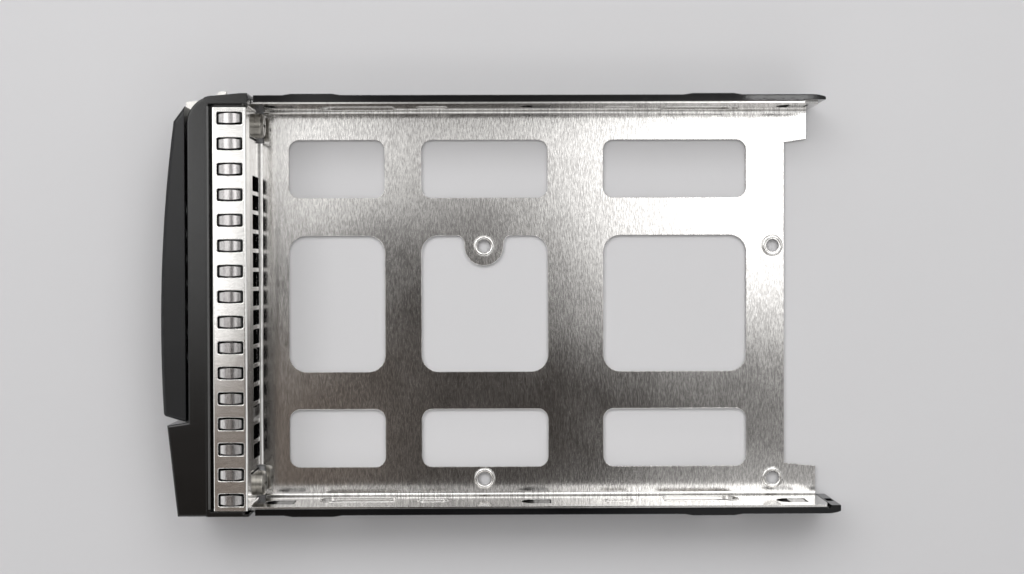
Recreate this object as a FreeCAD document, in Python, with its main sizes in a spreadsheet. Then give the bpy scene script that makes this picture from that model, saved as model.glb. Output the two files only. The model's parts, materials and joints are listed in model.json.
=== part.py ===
import FreeCAD, Part
import math
import os

import Sketcher

# Hard drive tray for a server bay: a folded steel sheet between two moulded slide rails, with a moulded
# bezel, a lever handle that works the tray in and out, and a thumb slide that frees the lever.
# Millimetres. +X runs to the rear, +Y to the left seen from the front, +Z up.
# The origin is on the underside, on the centre line, at the middle of the rear cross bar.

SIZES = (
    # Folded sheet
    ("sheet", 0.8),
    ("bend_radius", 0.8),
    ("bay_width", 102.0),
    ("wall_height", 19.3),
    ("flange_front", 84.4),
    ("corner_tab_gap", 0.6),
    ("flange_drop", 2.1),
    ("flange_ear_inset", 1.8),
    ("corner_relief", 2.0),
    ("corner_tab_width", 8.6),
    ("rear_edge", 55.4),
    ("left_tab_length", 5.95),
    ("right_tab_length", 8.3),
    ("left_end_slope", 4.0),
    ("right_end_slope", 0.8),
    ("end_slope_start", 16.0),
    ("rear_tab_width", 9.2),
    ("rear_tab_taper", 0.9),
    # Base windows
    ("cross_bar", 14.6),
    ("middle_window_length", 33.6),
    ("front_bar", 9.6),
    ("front_strip", 7.65),
    ("rear_strip", 10.05),
    ("middle_row_width", 36.26),
    ("row_bar", 9.87),
    ("side_strip", 7.6),
    ("middle_corner", 4.6),
    ("outer_corner", 2.8),
    # Small-drive holes in the base
    ("small_hole_setback", 3.1),
    ("small_hole_inset", 4.5),
    ("small_hole_length", 76.6),
    ("small_hole_width", 61.72),
    ("small_hole_radius", 1.7),
    ("dimple_radius", 2.8),
    ("dimple_rise", 0.5),
    ("dimple_slope", 0.4),
    ("dimple_wall", 0.4),
    ("tongue_radius", 5.1),
    ("tongue_root", 2.2),
    ("tongue_overlap", 2.4),
    # Side wall features
    ("drive_hole_rear", 38.3),
    ("drive_hole_spacing", 101.6),
    ("drive_hole_height", 7.65),
    ("drive_hole_radius", 1.9),
    ("drawn_length", 20.5),
    ("drawn_radius", 4.3),
    ("drawn_foot", 1.2),
    ("drawn_flat", 0.2),
    ("drawn_wall", 0.4),
    ("drawn_depth", 0.5),
    ("hook_slot_setback", 3.5),
    ("hook_slot_pitch", 66.2),
    ("hook_slot_count", 3),
    ("hook_slot_length", 7.7),
    ("hook_slot_height", 7.0),
    ("hook_slot_bottom", 8.0),
    ("hook_slot_nose", 3.3),
    ("hook_slot_corner", 0.6),
    ("dent_front", 41.5),
    ("dent_spacing", 48.2),
    ("dent_count", 2),
    ("dent_length", 7.8),
    ("dent_height", 3.4),
    ("dent_bottom", 8.6),
    ("dent_depth", 0.35),
    ("dent_corner", 1.4),
    # Vents in the front flange
    ("vent_middle", -3.25),
    ("vent_pitch", 4.95),
    ("vent_count", 15),
    ("vent_width", 3.9),
    ("vent_height", 10.4),
    ("vent_bottom", 2.4),
    # Corner screws
    ("corner_screw_inset", 5.1),
    ("corner_screw_height", 6.0),
    ("screw_radius", 1.45),
    ("screw_length", 5.0),
    ("screw_head_radius", 3.25),
    ("screw_head_height", 2.1),
    ("screw_head_round", 0.9),
    ("screw_recess_length", 3.4),
    ("screw_recess_width", 0.8),
    ("screw_recess_depth", 1.2),
    ("screw_clearance", 0.25),
    ("screw_bore_clearance", 0.05),
    # Slide rails
    ("rail_thickness", 1.35),
    ("rail_setback", 2.2),
    ("rail_bottom", 0.6),
    ("rail_lip", 0.35),
    ("rail_lip_rise", 0.6),
    ("left_rail_reach", 1.15),
    ("right_rail_reach", 2.6),
    ("rail_lead_length", 3.2),
    ("rail_lead_depth", 0.6),
    ("rail_pad_length", 14.8),
    ("rail_pad_rise", 0.35),
    ("rail_pad_ramp", 2.2),
    ("rail_pad_offset", 4.3),
    ("rail_edge", 0.2),
    ("rail_hook_length", 4.2),
    ("rail_hook_clearance", 0.35),
    ("rail_hook_setback", 0.1),
    ("rail_screw_radius", 3.6),
    ("rail_relief_clearance", 0.25),
    ("rail_end_clearance", 0.2),
    ("rail_recess_depth", 0.7),
    ("rail_recess_bottom", 8.8),
    ("rail_recess_height", 4.4),
    ("rail_recess_rim", 0.35),
    # Bezel
    ("bezel_depth", 13.6),
    ("bezel_margin", 0.7),
    ("bezel_flare", 0.6),
    ("bezel_rise", 5.7),
    ("bezel_corner", 6.9),
    ("bezel_wall", 2.0),
    ("bezel_floor", 1.4),
    ("bezel_roof_depth", 3.6),
    ("bezel_bar_reach", 1.5),
    ("bezel_bar_clearance", 0.15),
    ("bezel_bar_gap", 0.3),
    ("rim_length", 4.5),
    ("rim_drop", 0.3),
    ("rim_edge", 0.5),
    ("groove_front", 5.4),
    ("groove_length", 1.2),
    ("left_bar_width", 2.0),
    ("right_bar_width", 1.2),
    ("hinge_block_width", 12.5),
    ("partition_front", 1.9),
    ("face_slot_margin", 8.0),
    ("face_slot_pitch", 6.4),
    ("face_slot_count", 8),
    ("face_slot_width", 4.0),
    ("face_slot_bottom", 4.0),
    ("face_slot_height", 14.0),
    ("face_slot_corner", 1.6),
    # Fixed block
    ("block_width", 23.6),
    ("block_notch", 0.8),
    ("block_nose", 5.3),
    ("block_heel", 2.8),
    ("block_room_front", 14.8),
    ("partition_rear", 2.1),
    ("block_side_wall", 1.5),
    ("boss_half", 5.2),
    ("boss_top", 9.2),
    # Bright channel with spring fingers
    ("shield_overhang", 7.5),
    ("shield_left_gap", 0.9),
    ("shield_right_gap", 0.2),
    ("shield_drop", 0.2),
    ("shield_sheet", 0.4),
    ("shield_bend", 0.6),
    ("shield_rear_leg", 5.2),
    ("shield_front_leg", 3.0),
    ("finger_pitch", 6.35),
    ("finger_end_margin", 2.5),
    ("finger_window_setback", 1.25),
    ("finger_window_length", 6.65),
    ("finger_window_width", 3.4),
    ("finger_window_corner", 0.6),
    ("finger_width", 2.5),
    ("finger_end_width", 1.9),
    ("finger_trim", 0.1),
    ("finger_rise", 0.75),
    ("finger_bow", 0.8),
    ("finger_half", 2.8),
    ("finger_seat_drop", 1.6),
    ("spring_sheet", 0.2),
    ("carrier_width", 0.9),
    ("carrier_end_gap", 0.3),
    ("trough_depth", 1.0),
    ("trough_margin", 0.5),
    # Lever handle
    ("lever_gap", 0.6),
    ("lever_bottom", 0.8),
    ("lever_drop", 0.4),
    ("lever_tip_inset", 2.5),
    ("lever_chamfer", 3.8),
    ("lever_tip_depth", 2.8),
    ("lever_end_gap", 1.6),
    ("lever_end_depth", 5.6),
    ("lever_heel", 1.6),
    ("lever_bow_radius", 390.0),
    ("lever_edge", 1.0),
    ("lever_hollow_start", 21.0),
    ("lever_hollow_stop", 10.3),
    ("lever_hollow_depth", 3.0),
    ("lever_wall", 2.0),
    ("grille_margin", 4.0),
    ("grille_pitch", 6.4),
    ("grille_count", 7),
    ("grille_width", 3.6),
    ("grille_bottom", 5.2),
    ("grille_height", 15.0),
    ("grille_corner", 1.4),
    ("grille_reach", 10.0),
    # Lever hook that the thumb slide holds
    ("hook_inset", 7.1),
    ("hook_width", 1.8),
    ("hook_reach", 6.0),
    ("barb_length", 1.4),
    ("barb_width", 1.3),
    ("hook_bottom", 11.5),
    ("hook_height", 4.0),
    ("hook_room", 1.0),
    # Lever plate and pin
    ("pivot_depth", 4.5),
    ("pivot_inset", 4.5),
    ("pin_radius", 1.5),
    ("pin_bottom", 0.2),
    ("pin_cover", 0.1),
    ("pin_end_clearance", 0.2),
    ("pin_seat_clearance", 0.03),
    ("pin_running_clearance", 0.06),
    ("plate_bottom", 11.3),
    ("plate_thickness", 1.8),
    ("plate_gap", 0.3),
    ("plate_seat_clearance", 0.05),
    ("hub_radius", 3.4),
    ("arm_depth", 1.9),
    ("arm_tail_gap", 2.0),
    ("arm_width", 1.5),
    ("arm_root", 3.6),
    ("arm_shoulder", 4.6),
    ("arm_corner_setback", 0.1),
    ("arm_corner_reach", 4.2),
    ("arm_knee_drop", 2.4),
    ("toe_reach", 2.4),
    ("toe_setback", 1.6),
    ("toe_width", 1.7),
    ("toe_root_front", 1.0),
    ("toe_root_rear", 3.2),
    ("plate_room_reach", 6.5),
    ("plate_room_wall", 1.4),
    # Thumb slide
    ("slide_travel", 2.5),
    ("slide_clearance", 0.3),
    ("thumb_inset", 3.0),
    ("thumb_width", 10.1),
    ("thumb_bottom", 10.6),
    ("thumb_height", 6.8),
    ("thumb_reach", 2.2),
    ("thumb_rib_inset", 3.0),
    ("thumb_rib_pitch", 2.0),
    ("thumb_rib_count", 3),
    ("thumb_rib_width", 0.8),
    ("thumb_rib_rise", 0.45),
    ("skirt_inset", 0.6),
    ("skirt_overlap", 2.1),
    ("skirt_thickness", 1.2),
    ("skirt_margin", 0.9),
    ("tongue_thickness", 1.4),
    ("tongue_setback", 0.4),
    ("tongue_stem", 2.0),
    ("spring_radius", 1.5),
    ("spring_wire", 0.25),
    ("spring_turns", 4),
    # Light guides
    ("guide_thickness", 0.6),
    ("guide_clearance", 0.1),
    ("guide_slot_clearance", 0.2),
    ("guide_lower_bottom", 1.5),
    ("guide_lower_height", 1.3),
    ("guide_upper_bottom", 16.4),
    ("guide_upper_height", 1.8),
    ("guide_bend_start", 0.8),
    ("guide_bend_end", 4.2),
    ("guide_lane_inset", 2.5),
    ("guide_lens_width", 1.2),
    ("guide_lens_reach", 3.0),
)


class Size:
    """A length that carries both its number and the sheet formula that gives it."""

    def __init__(self, number, formula):
        self.number = float(number)
        self.formula = formula

    def __add__(self, other):
        other = as_size(other)
        return Size(self.number + other.number, f"({self.formula} + {other.formula})")

    def __sub__(self, other):
        other = as_size(other)
        return Size(self.number - other.number, f"({self.formula} - {other.formula})")

    def __mul__(self, other):
        other = as_size(other)
        return Size(self.number * other.number, f"({self.formula} * {other.formula})")

    def __truediv__(self, other):
        other = as_size(other)
        return Size(self.number / other.number, f"({self.formula} / {other.formula})")

    def __radd__(self, other):
        return as_size(other) + self

    def __rsub__(self, other):
        return as_size(other) - self

    def __rmul__(self, other):
        return as_size(other) * self

    def __neg__(self):
        return Size(-self.number, f"(-{self.formula})")


def as_size(value):
    """A plain number as a Size; a Size stays as it is."""
    if isinstance(value, Size):
        return value
    return Size(value, f"({float(value)!r})")


def root_of(area):
    """Square root of a Size."""
    return Size(math.sqrt(area.number), f"sqrt({area.formula})")


def whole(amount):
    """The whole number at or below a Size."""
    return Size(math.floor(amount.number), f"floor({amount.formula})")


class SizeSheet:
    """The spreadsheet of driving sizes, read by name."""

    def __init__(self, document):
        self.table = document.addObject("Spreadsheet::Sheet", "Sizes")
        for row, (alias, value) in enumerate(SIZES, start=1):
            self.table.set(f"A{row}", alias)
            self.table.set(f"B{row}", str(value))
            self.table.setAlias(f"B{row}", alias)
        document.recompute()

    def __getattr__(self, alias):
        return Size(self.table.get(alias), f"Sizes.{alias}")


doc = FreeCAD.newDocument("HardDriveTray")
s = SizeSheet(doc)
PARTS = []


def bind(thing, name, length):
    """Ties one property of an object to the sheet."""
    thing.setExpression(name, as_size(length).formula)


def new_body(label):
    """An empty body for one piece of the tray."""
    body = doc.addObject("PartDesign::Body", label)
    body.Label = label
    PARTS.append(body)
    return body


def rectangle(x0, x1, y0, y1):
    """Corners of a plain rectangle."""
    return [(x0, y0), (x1, y0), (x1, y1), (x0, y1)]


def rounded(x0, x1, y0, y1, low, high=None):
    """Rectangle with round corners: one radius at the low x end, one at the high x end."""
    high = low if high is None else high
    return [
        (x0 + low, y0),
        (x1 - high, y0, "left", x1 - high, y0 + high),
        (x1, y0 + high),
        (x1, y1 - high, "left", x1 - high, y1 - high),
        (x1 - high, y1),
        (x0 + low, y1, "left", x0 + low, y1 - low),
        (x0, y1 - low),
        (x0, y0 + low, "left", x0 + low, y0 + low),
    ]


def circle(x, y, radius):
    """A full circle."""
    return ("circle", x, y, radius)


def arc_between(start, end, centre, turn):
    """Arc from start to end about a centre, turning left or right."""
    radius = math.dist(start, centre)
    first = math.atan2(start[1] - centre[1], start[0] - centre[0])
    last = math.atan2(end[1] - centre[1], end[0] - centre[0])
    round_line = Part.Circle(FreeCAD.Vector(*centre, 0), FreeCAD.Vector(0, 0, 1), radius)
    if turn == "left":
        return Part.ArcOfCircle(round_line, first, last)
    return Part.ArcOfCircle(round_line, last, first)


def bow_centre(start, end, radius, turn):
    """Centre of an arc of a given radius between two points, on the side that the turn needs."""
    half = math.dist(start, end) / 2
    rise = math.sqrt(radius ** 2 - half ** 2)
    along = ((end[0] - start[0]) / (2 * half), (end[1] - start[1]) / (2 * half))
    side = 1 if turn == "left" else -1
    middle = ((start[0] + end[0]) / 2, (start[1] + end[1]) / 2)
    return (middle[0] - side * along[1] * rise, middle[1] + side * along[0] * rise)


def draw_circle(drawing, x, y, radius):
    """Adds a circle, and returns the dimensions that tie its centre and radius to the sheet."""
    x, y, radius = as_size(x), as_size(y), as_size(radius)
    centre = FreeCAD.Vector(x.number, y.number, 0)
    number = drawing.addGeometry(Part.Circle(centre, FreeCAD.Vector(0, 0, 1), radius.number), False)
    return [tie("DistanceX", x, number, 3), tie("DistanceY", y, number, 3), tie("Radius", radius, number)]


def tie(kind, length, *place):
    """One dimension of a sketch, with the sheet formula that drives it."""
    return (Sketcher.Constraint(kind, *place, length.number), length.formula)


def draw_outline(drawing, corners):
    """Adds a closed outline, and returns its joints and dimensions. A corner is (x, y), and the line that
    leaves it is straight, or an arc where the corner also gives its turn and its centre, or its turn and
    its radius."""
    spots = [(as_size(corner[0]), as_size(corner[1])) for corner in corners]
    lines = []
    for index, corner in enumerate(corners):
        start = tuple(value.number for value in spots[index])
        end = tuple(value.number for value in spots[(index + 1) % len(spots)])
        if len(corner) == 2:
            lines.append(Part.LineSegment(FreeCAD.Vector(*start, 0), FreeCAD.Vector(*end, 0)))
        elif len(corner) == 4:
            centre = bow_centre(start, end, as_size(corner[3]).number, corner[2])
            lines.append(arc_between(start, end, centre, corner[2]))
        else:
            centre = (as_size(corner[3]).number, as_size(corner[4]).number)
            lines.append(arc_between(start, end, centre, corner[2]))
    numbers = drawing.addGeometry(lines, False)
    ties = []
    for index, corner in enumerate(corners):
        number = numbers[index]
        following = (index + 1) % len(corners)
        backward = len(corner) > 2 and corner[2] == "right"
        leaves = 2 if backward else 1
        arrives = 1 if backward else 2
        next_backward = len(corners[following]) > 2 and corners[following][2] == "right"
        next_leaves = 2 if next_backward else 1
        meeting = Sketcher.Constraint("Coincident", number, arrives, numbers[following], next_leaves)
        ties.append((meeting, None))
        ties.append(tie("DistanceX", spots[index][0], number, leaves))
        ties.append(tie("DistanceY", spots[index][1], number, leaves))
    for index, corner in enumerate(corners):
        if len(corner) == 4:
            ties.append(tie("Radius", as_size(corner[3]), numbers[index]))
        elif len(corner) == 5:
            here, there = spots[index], spots[(index + 1) % len(spots)]
            level = abs(here[1].number - there[1].number) < abs(here[0].number - there[0].number) / 1000
            if level:
                ties.append(tie("DistanceY", as_size(corner[4]), numbers[index], 3))
            else:
                ties.append(tie("DistanceX", as_size(corner[3]), numbers[index], 3))
    return ties


def sketch(body, name, plane, height, outlines):
    """A sketch on one of the body's own planes, moved along the plane's normal."""
    origin_plane = [item for item in body.Origin.OriginFeatures if item.Role == plane + "_Plane"][0]
    drawing = body.newObject("Sketcher::SketchObject", name + "_sketch")
    drawing.AttachmentSupport = [(origin_plane, "")]
    drawing.MapMode = "FlatFace"
    bind(drawing, "AttachmentOffset.Base.z", height)
    ties = []
    for outline in outlines:
        if outline[0] == "circle":
            ties += draw_circle(drawing, *outline[1:])
        else:
            ties += draw_outline(drawing, outline)
    drawing.addConstraint([constraint for constraint, _ in ties])
    for index, (_, formula) in enumerate(ties):
        if formula:
            drawing.setExpression(f"Constraints[{index}]", formula)
    return drawing


def settle(body, feature, before, growth):
    """Computes a new feature, a second time where the first left the body as it was, and checks that the
    body gains (growth 1) or loses (growth -1) volume by it."""
    for _ in range(2):
        doc.recompute()
        if growth * (feature.Shape.Volume - before) > 0:
            return feature
        feature.Profile[0].touch()
        feature.touch()
    raise ValueError(f"{body.Label}: {feature.Label} changes nothing")


def add(body, name, plane, low, high, *outlines):
    """Adds the outlines' thickness between two levels across the plane: z for XY, y for XZ, x for YZ."""
    low, high = as_size(low), as_size(high)
    height = -high if plane == "XZ" else low
    before = body.Tip.Shape.Volume if body.Tip else 0
    feature = body.newObject("PartDesign::Pad", name)
    feature.Profile = sketch(body, name, plane, height, outlines)
    bind(feature, "Length", high - low)
    return settle(body, feature, before, 1)


def cut(body, name, plane, low, high, *outlines):
    """Cuts the outlines away between two levels across the plane."""
    low, high = as_size(low), as_size(high)
    height = -low if plane == "XZ" else high
    before = body.Tip.Shape.Volume
    feature = body.newObject("PartDesign::Pocket", name)
    feature.Profile = sketch(body, name, plane, height, outlines)
    bind(feature, "Length", high - low)
    return settle(body, feature, before, -1)


def row(body, features, name, axis, length, count, reverse=False):
    """Repeats features along one of the body's axes over a length."""
    pattern = body.newObject("PartDesign::LinearPattern", name)
    pattern.Originals = features
    line = [item for item in body.Origin.OriginFeatures if item.Role == axis + "_Axis"][0]
    pattern.Direction = (line, [""])
    pattern.Reversed = reverse
    bind(pattern, "Length", length)
    bind(pattern, "Occurrences", count)
    body.Tip = pattern
    doc.recompute()
    return pattern


def edges_at(body, direction, tests):
    """Names of the tip's straight edges along a direction whose middles lie at one of the given places.
    A place is a dict of axis letters and positions."""
    names = []
    for index, edge in enumerate(body.Tip.Shape.Edges, start=1):
        if not isinstance(edge.Curve, Part.Line):
            continue
        if abs(getattr(edge.Curve.Direction, direction)) < 0.999:
            continue
        middle = edge.CenterOfMass
        for place in tests:
            if all(abs(getattr(middle, axis) - spot.number) < 0.01 for axis, spot in place.items()):
                names.append(f"Edge{index}")
                break
    if not names:
        raise ValueError(f"{body.Label}: no edge found along {direction}")
    return names


def circles_at(body, radius, level):
    """Names of the tip's round edges of one radius at one height."""
    names = []
    for index, edge in enumerate(body.Tip.Shape.Edges, start=1):
        if not isinstance(edge.Curve, Part.Circle):
            continue
        if abs(edge.Curve.Radius - radius.number) < 0.001 and abs(edge.Curve.Center.z - level.number) < 0.001:
            names.append(f"Edge{index}")
    if not names:
        raise ValueError(f"{body.Label}: no round edge found")
    return names


def soften(body, name, kind, radius, names):
    """Rounds or bevels the named edges of the tip."""
    base = body.Tip
    feature = body.newObject("PartDesign::" + kind, name)
    feature.Base = (base, names)
    bind(feature, "Radius" if kind == "Fillet" else "Size", radius)
    doc.recompute()
    if "Invalid" in feature.State:
        raise ValueError(f"{body.Label}: {name} failed")
    return feature


# Levels and planes that several pieces share
wall_in = s.bay_width / 2
wall_out = wall_in + s.sheet
flange_out = -s.flange_front
flange_in = flange_out + s.sheet
bezel_front = flange_out - s.bezel_depth
lever_back = bezel_front - s.lever_gap
corner_tab_in = wall_out - s.corner_tab_width
flange_half = corner_tab_in - s.corner_tab_gap
bezel_half = wall_out + s.bezel_margin
bezel_left = bezel_half + s.bezel_flare
bezel_top = s.wall_height + s.bezel_rise
bezel_roof = bezel_top - s.bezel_roof_depth
screw_side = wall_out - s.corner_screw_inset
left_end = s.rear_edge + s.left_tab_length
right_end = s.rear_edge + s.right_tab_length
rail_front = flange_out + s.rail_setback
right_rail_end = right_end + s.right_rail_reach
drive_holes = [s.drive_hole_rear - s.drive_hole_spacing, s.drive_hole_rear]
first_slot = flange_out + s.hook_slot_setback
hook_slots = [first_slot + s.hook_slot_pitch * step for step in range(int(s.hook_slot_count.number))]
rail_top = s.wall_height + s.rail_lip_rise
plate_top = s.plate_bottom + s.plate_thickness
room_bottom = s.plate_bottom - s.plate_gap
room_top = plate_top + s.plate_gap
pivot_x = bezel_front + s.pivot_depth
pivot_y = bezel_half - s.pivot_inset
pin_top = bezel_roof - s.pin_cover
hook_top = s.hook_bottom + s.hook_height
left_bar_in = bezel_half - s.left_bar_width
right_bar_in = bezel_half - s.right_bar_width
shield_left = left_bar_in - s.shield_left_gap
shield_right = right_bar_in - s.shield_right_gap
shield_front = flange_out - s.shield_overhang
shield_top = bezel_top - s.shield_drop
finger_seat = shield_top - s.finger_seat_drop
finger_window_front = shield_front + s.finger_window_setback
finger_middle = finger_window_front + s.finger_window_length / 2
finger_gaps = whole((shield_left + shield_right - 2 * s.finger_end_margin) / s.finger_pitch)
finger_count = finger_gaps + 1
finger_row = s.finger_pitch * finger_gaps
finger_first = (shield_left - shield_right + finger_row) / 2
vent_room_left = bezel_half - s.hinge_block_width
block_start = bezel_half - s.block_width
vent_room_right = block_start - s.partition_front
block_room_front = flange_out - s.block_room_front
block_room_start = block_start + s.partition_rear
block_room_end = bezel_half - s.block_side_wall
lever_tip = bezel_half - s.lever_tip_inset
lever_end = block_start - s.lever_end_gap
lever_top = bezel_top - s.lever_drop
lever_hollow_left = lever_tip - s.lever_hollow_start
hook_start = lever_end - s.hook_inset
arm_front = lever_back - s.arm_depth
arm_tail = lever_hollow_left + s.arm_tail_gap
thumb_start = block_room_start + s.thumb_inset
skirt_end = thumb_start + s.thumb_width + s.skirt_overlap
guide_lane = bezel_half - s.guide_lane_inset
guide_lens_front = bezel_front - s.guide_lens_reach


def drawn_pad(hole, toward_rear, grow):
    """Outline of the drawn pad around a drive hole: round about the hole, long towards the tray's middle."""
    tall = s.drawn_radius + grow
    foot = s.drawn_foot + grow
    low = s.drive_hole_height - tall
    high = s.drive_hole_height + tall
    if toward_rear:
        return rounded(hole - s.drawn_radius - grow, hole + s.drawn_length - s.drawn_radius + grow,
                       low, high, tall - s.drawn_flat, foot)
    return rounded(hole - s.drawn_length + s.drawn_radius - grow, hole + s.drawn_radius + grow,
                   low, high, foot, tall - s.drawn_flat)


def side_span(side, inner, outer):
    """Low and high y of a layer at the left (1) or right (-1) side of the tray."""
    inner, outer = as_size(inner), as_size(outer)
    return (inner, outer) if side == 1 else (-outer, -inner)


def make_wall(body, name, side, end, slope):
    """One folded side wall with its slots, drive holes and drawn pads."""
    start = flange_out + s.corner_relief
    profile = [
        (start, 0), (end, 0), (end, s.end_slope_start), (end - slope, s.wall_height),
        (flange_out, s.wall_height), (flange_out, s.corner_relief), (start, s.corner_relief),
    ]
    slots = []
    for slot in hook_slots:
        slots.append(rounded(slot, slot + s.hook_slot_length, s.hook_slot_bottom,
                             s.hook_slot_bottom + s.hook_slot_height, s.hook_slot_nose, s.hook_slot_corner))
    add(body, name, "XZ", *side_span(side, wall_in, wall_out), profile, *slots)


def finish_wall(body, name, side):
    """Drawn pads, drive holes and dents, after the bends are rounded."""
    pads = [drawn_pad(drive_holes[0], True, 0), drawn_pad(drive_holes[1], False, 0)]
    add(body, name + "_drawn", "XZ", *side_span(side, wall_out, wall_out + s.drawn_depth), *pads)
    hollows = [
        drawn_pad(drive_holes[0], True, -s.drawn_wall),
        drawn_pad(drive_holes[1], False, -s.drawn_wall),
    ]
    cut(body, name + "_hollow", "XZ", *side_span(side, wall_in, wall_in + s.drawn_depth), *hollows)
    holes = [circle(hole, s.drive_hole_height, s.drive_hole_radius) for hole in drive_holes]
    cut(body, name + "_holes", "XZ", *side_span(side, wall_in, wall_out + s.drawn_depth), *holes)
    dents = []
    for step in range(int(s.dent_count.number)):
        start = s.dent_spacing * step - s.dent_front
        dents.append(rounded(start, start + s.dent_length, s.dent_bottom, s.dent_bottom + s.dent_height,
                             s.dent_corner))
    cut(body, name + "_dents", "XZ", *side_span(side, wall_in, wall_in + s.dent_depth), *dents)


def make_tray_sheet():
    """The folded sheet: base, walls, front flange and corner tabs, bends, windows and holes."""
    body = new_body("tray_sheet")
    relief = flange_out + s.corner_relief
    rear_tab_in = wall_out - s.rear_tab_width
    base = [
        (flange_out, -flange_half), (relief, -flange_half), (relief, -wall_out),
        (right_end, -wall_out), (right_end, -rear_tab_in - s.rear_tab_taper),
        (s.rear_edge, -rear_tab_in), (s.rear_edge, rear_tab_in),
        (left_end, rear_tab_in + s.rear_tab_taper), (left_end, wall_out),
        (relief, wall_out), (relief, flange_half), (flange_out, flange_half),
    ]
    add(body, "base", "XY", 0, s.sheet, base)
    make_wall(body, "left_wall", 1, left_end, s.left_end_slope)
    make_wall(body, "right_wall", -1, right_end, s.right_end_slope)
    ear = s.wall_height + s.rail_lip
    flange_ear = wall_in - s.flange_ear_inset
    flange_high = bezel_top - s.flange_drop
    flange = [
        (-flange_half, 0), (flange_half, 0), (flange_half, ear), (flange_ear, ear),
        (flange_ear, flange_high), (-flange_ear, flange_high),
        (-flange_ear, ear), (-flange_half, ear),
    ]
    add(body, "flange", "YZ", flange_out, flange_in, flange)
    tabs = []
    for side in (1, -1):
        tabs.append(rectangle(side * corner_tab_in, side * wall_out, s.corner_relief, s.wall_height))
        tabs.append(circle(side * screw_side, s.corner_screw_height,
                           s.screw_radius + s.screw_clearance))
    add(body, "corner_tabs", "YZ", flange_out, flange_in, *tabs)
    zero = as_size(0)
    outer = edges_at(body, "x", [{"y": wall_out, "z": zero}, {"y": -wall_out, "z": zero}])
    outer += edges_at(body, "y", [{"x": flange_out, "z": zero}])
    outer += edges_at(body, "z", [{"x": flange_out, "y": wall_out}, {"x": flange_out, "y": -wall_out}])
    soften(body, "outer_bends", "Fillet", s.bend_radius + s.sheet, outer)
    inner = edges_at(body, "x", [{"y": wall_in, "z": s.sheet}, {"y": -wall_in, "z": s.sheet}])
    inner += edges_at(body, "y", [{"x": flange_in, "z": s.sheet}])
    inner += edges_at(body, "z", [{"x": flange_in, "y": wall_in}, {"x": flange_in, "y": -wall_in}])
    soften(body, "inner_bends", "Fillet", s.bend_radius, inner)
    vent_first = s.vent_middle + s.vent_pitch * (s.vent_count - 1) / 2
    first_vent = rectangle(vent_first - s.vent_width / 2, vent_first + s.vent_width / 2,
                           s.vent_bottom, s.vent_bottom + s.vent_height)
    vent = cut(body, "vent", "YZ", flange_out, flange_in, first_vent)
    row(body, [vent], "vents", "Y", s.vent_pitch * (s.vent_count - 1), s.vent_count, reverse=True)
    finish_wall(body, "left", 1)
    finish_wall(body, "right", -1)
    make_base_openings(body)
    return body


def make_base_openings(body):
    """Nine windows, the tongue in the middle one and the four raised small-drive holes."""
    half_bar = s.cross_bar / 2
    front_end = -(half_bar + s.middle_window_length + s.front_bar)
    columns = [
        (flange_in + s.front_strip, front_end),
        (-half_bar - s.middle_window_length, -half_bar),
        (half_bar, s.rear_edge - s.rear_strip),
    ]
    half_row = s.middle_row_width / 2
    outer_low = half_row + s.row_bar
    outer_high = wall_in - s.side_strip
    rows = [
        ("middle_windows", -half_row, half_row, s.middle_corner),
        ("left_windows", outer_low, outer_high, s.outer_corner),
        ("right_windows", -outer_high, -outer_low, s.outer_corner),
    ]
    for name, low, high, corner in rows:
        windows = [rounded(start, end, low, high, corner) for start, end in columns]
        cut(body, name, "XY", 0, s.sheet, *windows)
    rear_hole = s.rear_edge - s.small_hole_setback
    front_hole = rear_hole - s.small_hole_length
    right_hole = -(wall_in - s.small_hole_inset)
    left_hole = right_hole + s.small_hole_width
    root = half_row + s.tongue_overlap
    tongue = [
        (front_hole - s.tongue_radius, root),
        (front_hole - s.tongue_radius, left_hole, "left", front_hole, left_hole),
        (front_hole + s.tongue_radius, left_hole),
        (front_hole + s.tongue_radius, root),
    ]
    add(body, "tongue", "XY", 0, s.sheet, tongue)
    above = root_of(s.tongue_radius * s.tongue_radius - (left_hole - half_row) * (left_hole - half_row))
    reach = above if left_hole.number > half_row.number else s.tongue_radius
    roots = edges_at(body, "z", [
        {"x": front_hole - reach, "y": half_row},
        {"x": front_hole + reach, "y": half_row},
    ])
    soften(body, "tongue_roots", "Fillet", s.tongue_root, roots)
    spots = []
    for x in (front_hole, rear_hole):
        for y in (left_hole, right_hole):
            spots.append((x, y))
    top = s.sheet + s.dimple_rise
    add(body, "dimples", "XY", s.sheet, top, *[circle(x, y, s.dimple_radius) for x, y in spots])
    soften(body, "dimple_slopes", "Chamfer", s.dimple_slope, circles_at(body, s.dimple_radius, top))
    under = s.dimple_radius - s.dimple_wall
    cut(body, "dimple_undersides", "XY", 0, s.dimple_rise, *[circle(x, y, under) for x, y in spots])
    cut(body, "small_holes", "XY", 0, top, *[circle(x, y, s.small_hole_radius) for x, y in spots])


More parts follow.
